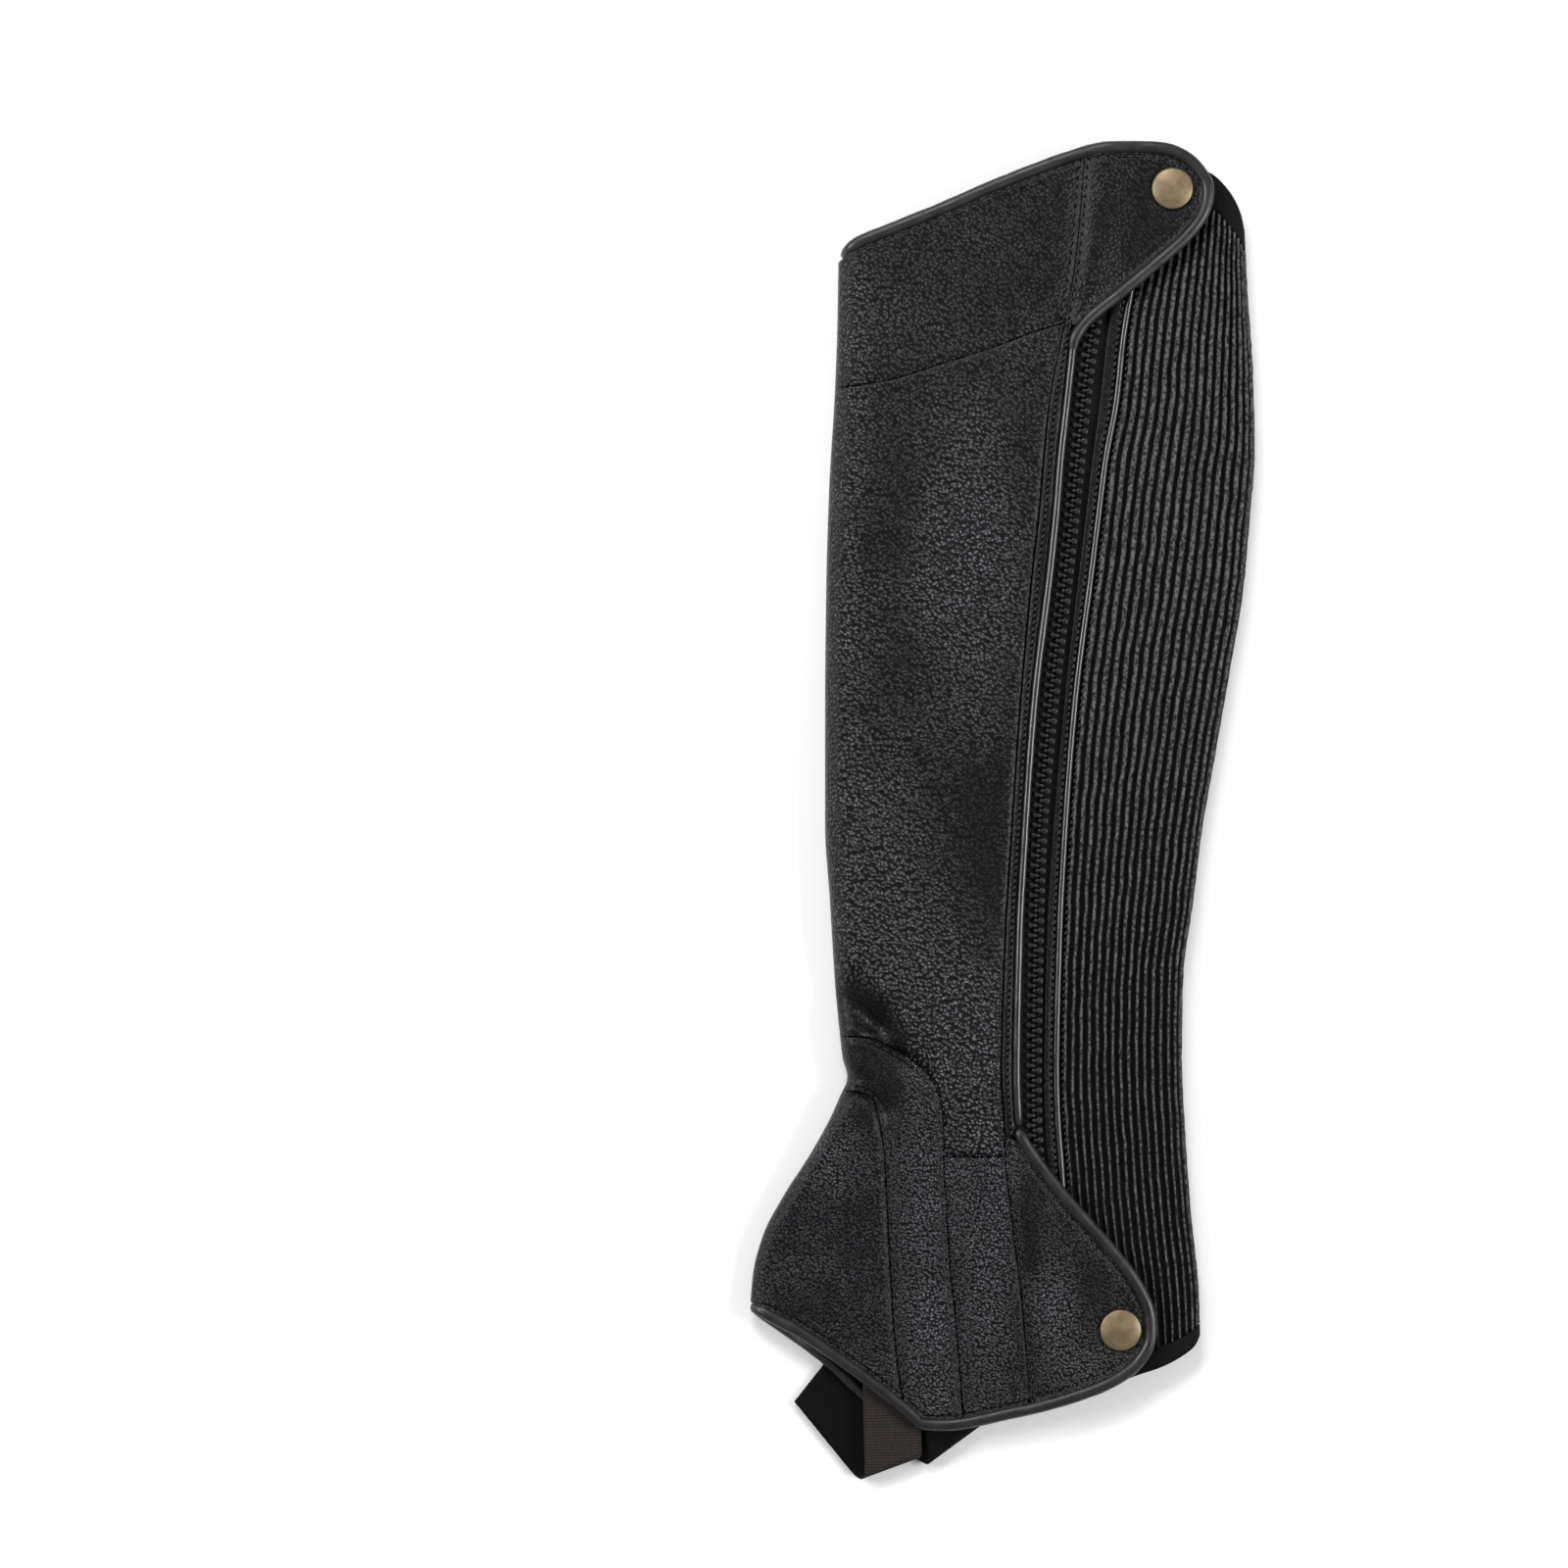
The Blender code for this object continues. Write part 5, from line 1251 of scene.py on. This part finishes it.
# ---- elastic -----------------------------------------------------------------------------------------
def elastic_plan(high_line, low_line, y_high, y_low, gap, step):
    high_line, low_line = Line(high_line), Line(low_line)
    length = y_high - y_low
    down = marks(length, step, (0.8,), (0.8,)) if length > 20 else np.linspace(0, 1, max(int(length / 1.5), 3))
    across = np.linspace(0, 1, 70) ** 2
    top = high_line.path(high_line.last, 0, -JOIN)
    bottom = low_line.path(low_line.last, 0, JOIN)
    ys = top[0][1] + (bottom[0][1] - top[0][1]) * down
    fold = np.stack([back(ys), ys], 1)
    ys = y_high + (y_low - y_high) * down
    side = np.stack([elastic(ys) + gap, ys], 1)
    top, bottom = even(tied(top, fold[0], side[0]), across), even(tied(bottom, fold[-1], side[-1]), across)
    return patch(top, bottom, fold, side)


def around(high_line, low_line, y_high, y_low, count, step, drop):
    """The outer face of an elastic piece, in even steps from facing to facing."""
    rows = wrap(
        elastic_plan(high_line, low_line, y_high, y_low, 0.35, step),
        elastic_plan(high_line, low_line, y_high, y_low, SEAM, step),
        drop,
        False,
        True,
    )
    f = np.linspace(0, 1, count)
    return np.array([even(row, f) for row in rows])


def outward(grid):
    n = np.cross(np.gradient(grid, axis=0), np.gradient(grid, axis=1))
    return n / np.linalg.norm(n, axis=2)[..., None]


PER_RIB = 7
elastic_grid = around(BAND_SEAM, HEM_SEAM, 215.9, -192.8, RIBS * PER_RIB + 1, 2.6, ELASTIC_TOP)
phase = np.arange(RIBS * PER_RIB + 1)[None] / PER_RIB
gx, gy = elastic_grid[..., 0], elastic_grid[..., 1]
wander = 0.07 * lumps(gx, gy, 9.0, 11) + 0.05 * lumps(gx, gy, 4.0, 12)
cord = 0.5 - 0.5 * np.cos(2 * math.pi * (phase + wander))
slim = ramp((120.0 - gy) / 260.0)  # the cords stand apart towards the foot
shape = ramp((cord - 0.12 - 0.38 * slim) * (1.5 + 0.55 * slim))
shape = shape * (1 + 0.1 * lumps(gx, gy, 3.1, 13))
RIB_DEPTH = 1.35
elastic_grid = elastic_grid - outward(elastic_grid) * (RIB_DEPTH * (1 - shape))[..., None]
# Painted shade: the cords close under the tabs are painted darker, as in the shade of the tabs.
hidden = np.minimum(
    line_distance(gx, gy, [top_edge.path(top_edge.nearest(69.4, 203.0), top_edge.nearest(28.4, 166.4), 0, 60)]),
    line_distance(gx, gy, [hem.path(hem.nearest(9.4, -115.0), hem.nearest(47.9, -193.5), 0, 60)]),
)
lit_cord = shape * (1.0 - 0.32 * np.exp(-hidden / 7.0))
elastic_cloth = shell("elastic_cloth", elastic_grid, 0.7, RIB_PAINT, ["elastic_panel"], shade=lit_cord)
top_band_grid = around(BAND_TOP, BAND_SEAM, 225.4, 216.7, 64, 1.5, ELASTIC_TOP - 0.3)
top_band = shell("top_band_tape", top_band_grid, 1.2, BAND_PAINT, ["elastic_top_band"], uv=True)
low_band_grid = around(HEM_SEAM, HEM_END, -193.6, -200.8, 64, 1.5, ELASTIC_TOP - 0.3)
low_band = shell("low_band_tape", low_band_grid, 1.2, BAND_PAINT, ["elastic_bottom_band"], uv=True)


# ---- bindings -------------------------------------------------------------------------------------------
HEM_CORNER = np.array((-27.0, -212.5))


def binding(name, outer, inner, sign, round_x, turn_r, node, onward=()):
    def centres(line, t, side):
        r = BINDING_WIDE if side > 0 else INNER_BINDING
        p = line.beside(t, sign * r)
        x, y = np.maximum(p[:, 0], round_x + BINDING), p[:, 1]
        above = crown(x, y) + BINDING_MID + lift(x, y)
        below = under(x, y) + INNER_BINDING
        mid = (above + below) / 2
        q = bend(x - round_x - BINDING, turn_r)
        z = mid + (above - mid) * q if side > 0 else mid - (mid - below) * q
        up = np.stack([-np.sqrt(1 - q * q), 0 * q, side * q], 1)
        return np.stack([x, y, z], 1), up

    def steps(line):
        t = np.linspace(0, line.last, 1200)
        p = line.at(t)
        run = np.concatenate([[0.0], np.cumsum(np.linalg.norm(np.diff(p, axis=0), axis=1))])
        return np.interp(marks(run[-1], 1.3, (0.3, 0.7, 1.2)) * run[-1], run, t)

    below, up_below = centres(inner, steps(inner)[1:][::-1], -1)
    above, up_above = centres(outer, steps(outer), 1)
    path, ups = np.concatenate([below, above]), np.concatenate([up_below, up_above])
    scale = np.concatenate([np.full(len(below), INNER_BINDING / BINDING), np.ones(len(above))])
    for y, size in onward:
        x = float(guard(y)) - GUARD_PIPING
        path = np.vstack([path, (x, y, float(crown(x, y)) + GUARD_PIPING_MID + 0.1)])
        ups, scale = np.vstack([ups, (0.0, 0.0, 1.0)]), np.append(scale, size)
    keep = [0]
    for k in range(1, len(path)):
        if np.linalg.norm(path[k] - path[keep[-1]]) > 0.55:
            keep.append(k)
    path, ups, scale = path[keep], ups[keep], scale[keep]
    # The outline's corner at the heel of the hem stays sharp, and the other bends are eased.
    keen = ramp((np.linalg.norm(path[:, :2] - HEM_CORNER, axis=1) - 3.0) / 6.0)[1:-1, None]
    for k in range(12):
        eased = (path[:-2] + 2 * path[1:-1] + path[2:]) / 4
        path[1:-1] += (eased - path[1:-1]) * (keen if k > 1 else 1.0)
        scale[1:-1] = (scale[:-2] + 2 * scale[1:-1] + scale[2:]) / 4
    return sweep(name, path, BINDING_WIDE, BINDING, ups, EDGE_PAINT, [node], sides=18, scale=scale, ripple=0.045)


top_roll = binding(
    "top_rolled_binding",
    top_edge,
    inner_top_edge,
    -1,
    -57.9,
    4.8,
    "top_binding",
    ((163.6, 0.82), (162.2, 0.76), (160.8, 0.72), (159.2, 0.68), (157.6, 0.62)),
)
hem_roll = binding("hem_rolled_binding", hem, inner_hem, 1, -88.6, 3.6, "hem_binding")


# ---- stitching --------------------------------------------------------------------------------------------
def on_leather(path, tab=False):
    x, y = path[:, 0], path[:, 1]
    return np.stack([x, y, tab_skin(x, y) if tab else skin(x, y)], 1)


yoke_work = stitches(
    "yoke_stitches", [on_leather(even(rows_of["top_yoke"], np.linspace(0, 1, 90))), on_leather(rows_of["yoke_left"])]
)
upper_work = stitches(
    "upper_tab_stitches",
    [on_leather(even(rows_of["top_tab"], np.linspace(0, 1, 160)), True), on_leather(rows_of["yoke_right"], True)],
)
hem_work = stitches("hem_stitches", [on_leather(even(rows_of["hem_foot"], np.linspace(0, 1, 120)))])
lower_work = stitches(
    "lower_tab_stitches",
    [on_leather(even(rows_of["hem_tab"], np.linspace(0, 1, 180)), True), on_leather(rows_of["tab"], True)],
)
guard_work = stitches(
    "guard_stitches",
    [along_y(167.0, -113.0, lambda y: seam(y) + 2.15, GUARD_TOP)],
    pitch=2.3,
    share=0.72,
    slant=28.0,
)
facing_work = stitches(
    "facing_stitches",
    [along_y(218.0, -196.0, lambda y: elastic(y) - 2 * FACING_PIPING - 0.75, FACING_TOP)],
    pitch=2.4,
    share=0.72,
    slant=24.0,
)
elastic_work = stitches(
    "elastic_stitches",
    [along_y(214.0, -190.0, lambda y: elastic(y) + 0.9, ELASTIC_TOP - 0.1)],
    pitch=2.4,
    share=0.6,
    slant=20.0,
    groove=False,
)
seam_work = stitches(
    "panel_stitches",
    [
        on_leather(even(rows_of["instep_out"], np.linspace(0, 1, 140))),
        on_leather(even(rows_of["instep_in"], np.linspace(0, 1, 120))),
    ],
    radius=0.22,
)


# ---- snaps ---------------------------------------------------------------------------------------------------
def tilt(x, y):
    step = 5.0
    return (
        math.atan2(float(base_crown(x, y + step) - base_crown(x, y - step)), 2 * step),
        -math.atan2(float(base_crown(x + step, y) - base_crown(x - step, y)), 2 * step),
    )


def snap(which):
    """A domed cap with a rolled rim, turned about its axis and tilted with the tab."""
    x, y = SNAPS[which]
    r, h = SNAP_RADIUS, SNAP_HEIGHT
    profile = [(0.0, 0.0), (r - 0.5, 0.0), (r - 0.12, 0.16), (r, 0.45), (r - 0.06, 0.72), (r - 0.3, 0.98)]
    profile += [(r * s, 0.98 + (h - 0.98) * (1 - (s / 0.965) ** 2.3)) for s in (0.93, 0.88, 0.8, 0.7, 0.58, 0.44, 0.28, 0.12)]
    sides = 72
    verts, faces = [(0.0, 0.0, 0.0)], []
    for rad, z in profile[1:]:
        verts += [(rad * math.cos(2 * math.pi * k / sides), rad * math.sin(2 * math.pi * k / sides), z) for k in range(sides)]
    verts.append((0.0, 0.0, h))
    for k in range(sides):
        m = (k + 1) % sides
        faces.append((0, 1 + m, 1 + k))
        for ring in range(len(profile) - 2):
            a, b = 1 + ring * sides, 1 + (ring + 1) * sides
            faces.append((a + k, a + m, b + m, b + k))
        last = 1 + (len(profile) - 2) * sides
        faces.append((last + k, last + m, len(verts) - 1))
    ax, ay = tilt(x, y)
    points = np.array(verts)
    lifted = points @ np.array([[1, 0, 0], [0, math.cos(ax), math.sin(ax)], [0, -math.sin(ax), math.cos(ax)]])
    lifted = lifted @ np.array([[math.cos(ay), 0, -math.sin(ay)], [0, 1, 0], [math.sin(ay), 0, math.cos(ay)]])
    lifted += (x, y, float(base_crown(x, y)) + TAB_RISE + 0.2)
    return piece("snap_dome_" + which, lifted, faces, SNAP_PAINT, ["snap_cap_" + which])


snaps = [snap("upper"), snap("lower")]
for which in SNAPS:
    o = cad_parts["snap_socket_" + which]
    for k in range(len(o.material_slots)):
        o.material_slots[k].material = SNAP_PAINT


# ---- stirrup strap ---------------------------------------------------------------------------------------------
def strap_rows(lanes=13):
    """The middle face of a flat strip after its folds, as rows across the strip."""
    heads = [f[0] for f in STRAP_FOLDS] + [STRAP_LAST]
    spots = [np.array((f[1], f[2])) for f in STRAP_FOLDS]
    folds, at = [], STRAP_OUTER_END
    for k, (_, _, _, radius) in enumerate(STRAP_FOLDS):
        # The strip is turned over after each fold, which mirrors the fold's angle to it.
        lean = math.radians(((heads[k] + heads[k + 1]) / 2 - heads[k]) * (-1) ** k) % math.pi
        folds.append((at, lean, radius, -1 if k < 2 else 1))
        if k < 2:
            at += float(np.linalg.norm(spots[k + 1] - spots[k])) + (math.pi - 2) * radius / math.sin(lean)
    # Cuts across the strip: length, angle, folds passed, fold it is in.
    cuts = [(0.0, math.pi / 2, 0, None)]
    for k, (s, lean, radius, _) in enumerate(folds):
        across = math.sin(lean)
        first = s - radius / across
        here, old_lean = cuts[-1][0], cuts[-1][1]
        count = max(int((first - here) / 2.0), 3)
        for i in range(1, count + 1):
            f = i / (count + 1)
            cuts.append((here + (first - here) * f, old_lean + (lean - old_lean) * f, k, None))
        count = 16
        for i in range(count + 1):
            cuts.append((first + math.pi * radius * i / count / across, lean, k, k))
    here, old_lean = cuts[-1][0], cuts[-1][1]
    for i in range(1, 17):
        f = i / 16
        cuts.append((here + STRAP_INNER_END * f, old_lean + (math.pi / 2 - old_lean) * f, 3, None))
    heading = math.radians(heads[0])
    along = np.array((math.cos(heading), math.sin(heading)))
    side = np.array((-along[1], along[0]))
    origin = spots[0] - along * STRAP_OUTER_END
    high = STRAP_LIE + 2 * folds[0][2]
    rows, places = [], []
    for s0, lean, passed, inside in cuts:
        row, place = [], []
        for t in np.linspace(-0.5, 0.5, lanes):
            t = t * STRAP_WIDTH
            p = np.array((s0 + t / math.tan(lean), t, 0.0))
            place.append((t, p[0]))
            for k in reversed(range(passed + (inside is not None))):
                start, fold_lean, radius, up = folds[k]
                normal = np.array((math.sin(fold_lean), -math.cos(fold_lean), 0.0))
                q = float((p - np.array((start, 0, p[2]))) @ normal) + radius
                if k == inside:
                    p = p + normal * (radius * math.sin(q / radius) - q)
                    p[2] = up * radius * (1 - math.cos(q / radius))
                else:
                    p = p + normal * (math.pi * radius - 2 * q)
                    p[2] = up * 2 * radius - p[2]
            spot = origin + along * p[0] + side * p[1]
            z = high + p[2]
            if passed == 0 and inside is None:
                z += STRAP_RISE * float(ramp((folds[0][0] - 3.0 - s0) / 8.0))
            late = float(ramp((s0 - folds[2][0] + folds[2][2]) / (math.pi * folds[2][2])))
            row.append((spot[0] + STRAP_SHIFT * late, spot[1], z))
        rows.append(row)
        places.append(place)
    return np.array(rows), np.array(places), cuts


strap_grid, strap_places, strap_cuts = strap_rows()
strap = shell("stirrup_strap_web", strap_grid, STRAP_THICK, [STRAP_PAINT, STRAP_BACK_PAINT], ["stirrup_strap"], offset=0.0, uv=True)
strap.modifiers["wall"].material_offset = 1
corner_of = np.empty(len(strap.data.loops), np.int32)
strap.data.loops.foreach_get("vertex_index", corner_of)
strap.data.uv_layers["cloth"].data.foreach_set("uv", strap_places.reshape(-1, 2)[corner_of].astype(np.float32).ravel())
STRAP_LENGTH = float(np.ptp(strap_places[:, :, 1])) * MM


# ---- each sheet's flat size and area, worked out and not kept -----------------------------------------------------
declare(leg_grid)
declare(yoke_grid)
declare(instep_grid)
declare(vamp_grid)
declare(ankle_grid)
declare(inner_ankle_grid)
declare(upper_grid)
declare(lower_grid)
declare(elastic_grid)
declare(top_band_grid)
declare(low_band_grid)
declare(strap_grid)

# ---- floor and lamps ---------------------------------------------------------------------------------------------
floor_mesh = bpy.data.meshes.new("ground")
floor_mesh.from_pydata([(-4, -4, -0.0003), (4, -4, -0.0003), (4, 4, -0.0003), (-4, 4, -0.0003)], [], [(0, 1, 2, 3)])
ground = bpy.data.objects.new("ground", floor_mesh)
floor_paint = Paint("pale_floor", 0.1)
shade_of_floor = floor_paint.noise(floor_paint.where(), 3.0, 2.0)
floor_paint.finish(
    floor_paint.tint(shade_of_floor, (0.97, 0.97, 0.97), (0.985, 0.985, 0.985)),
    floor_paint.span(shade_of_floor, 0.3, 0.7, 0.85, 0.95),
    None,
    0.0,
    0.0,
)
floor_mesh.materials.append(floor_paint.material)
bpy.context.scene.collection.objects.link(ground)


def lamp(name, place, size, power, aim=(0.0, 0.0, 0.0)):
    light = bpy.data.lights.new(name, "AREA")
    light.shape = "SQUARE"
    light.size = size
    light.energy = power
    made = bpy.data.objects.new(name, light)
    made.location = place
    away = np.array(place) - np.array(aim)
    made.rotation_euler = (
        math.acos(away[2] / np.linalg.norm(away)),
        0.0,
        math.atan2(away[1], away[0]) + math.pi / 2,
    )
    bpy.context.scene.collection.objects.link(made)


lamp("left_lamp", (-1.25, 0.35, 1.0), 0.7, 18.0)
lamp("right_lamp", (1.2, -0.1, 0.95), 0.7, 17.5)
lamp("high_lamp", (-0.35, 1.3, 1.3), 0.7, 16.0)
world = bpy.data.worlds.new("studio")
world.use_nodes = True
world.node_tree.nodes["Background"].inputs["Color"].default_value = (1.0, 1.0, 1.0, 1.0)
world.node_tree.nodes["Background"].inputs["Strength"].default_value = 0.3
bpy.context.scene.world = world
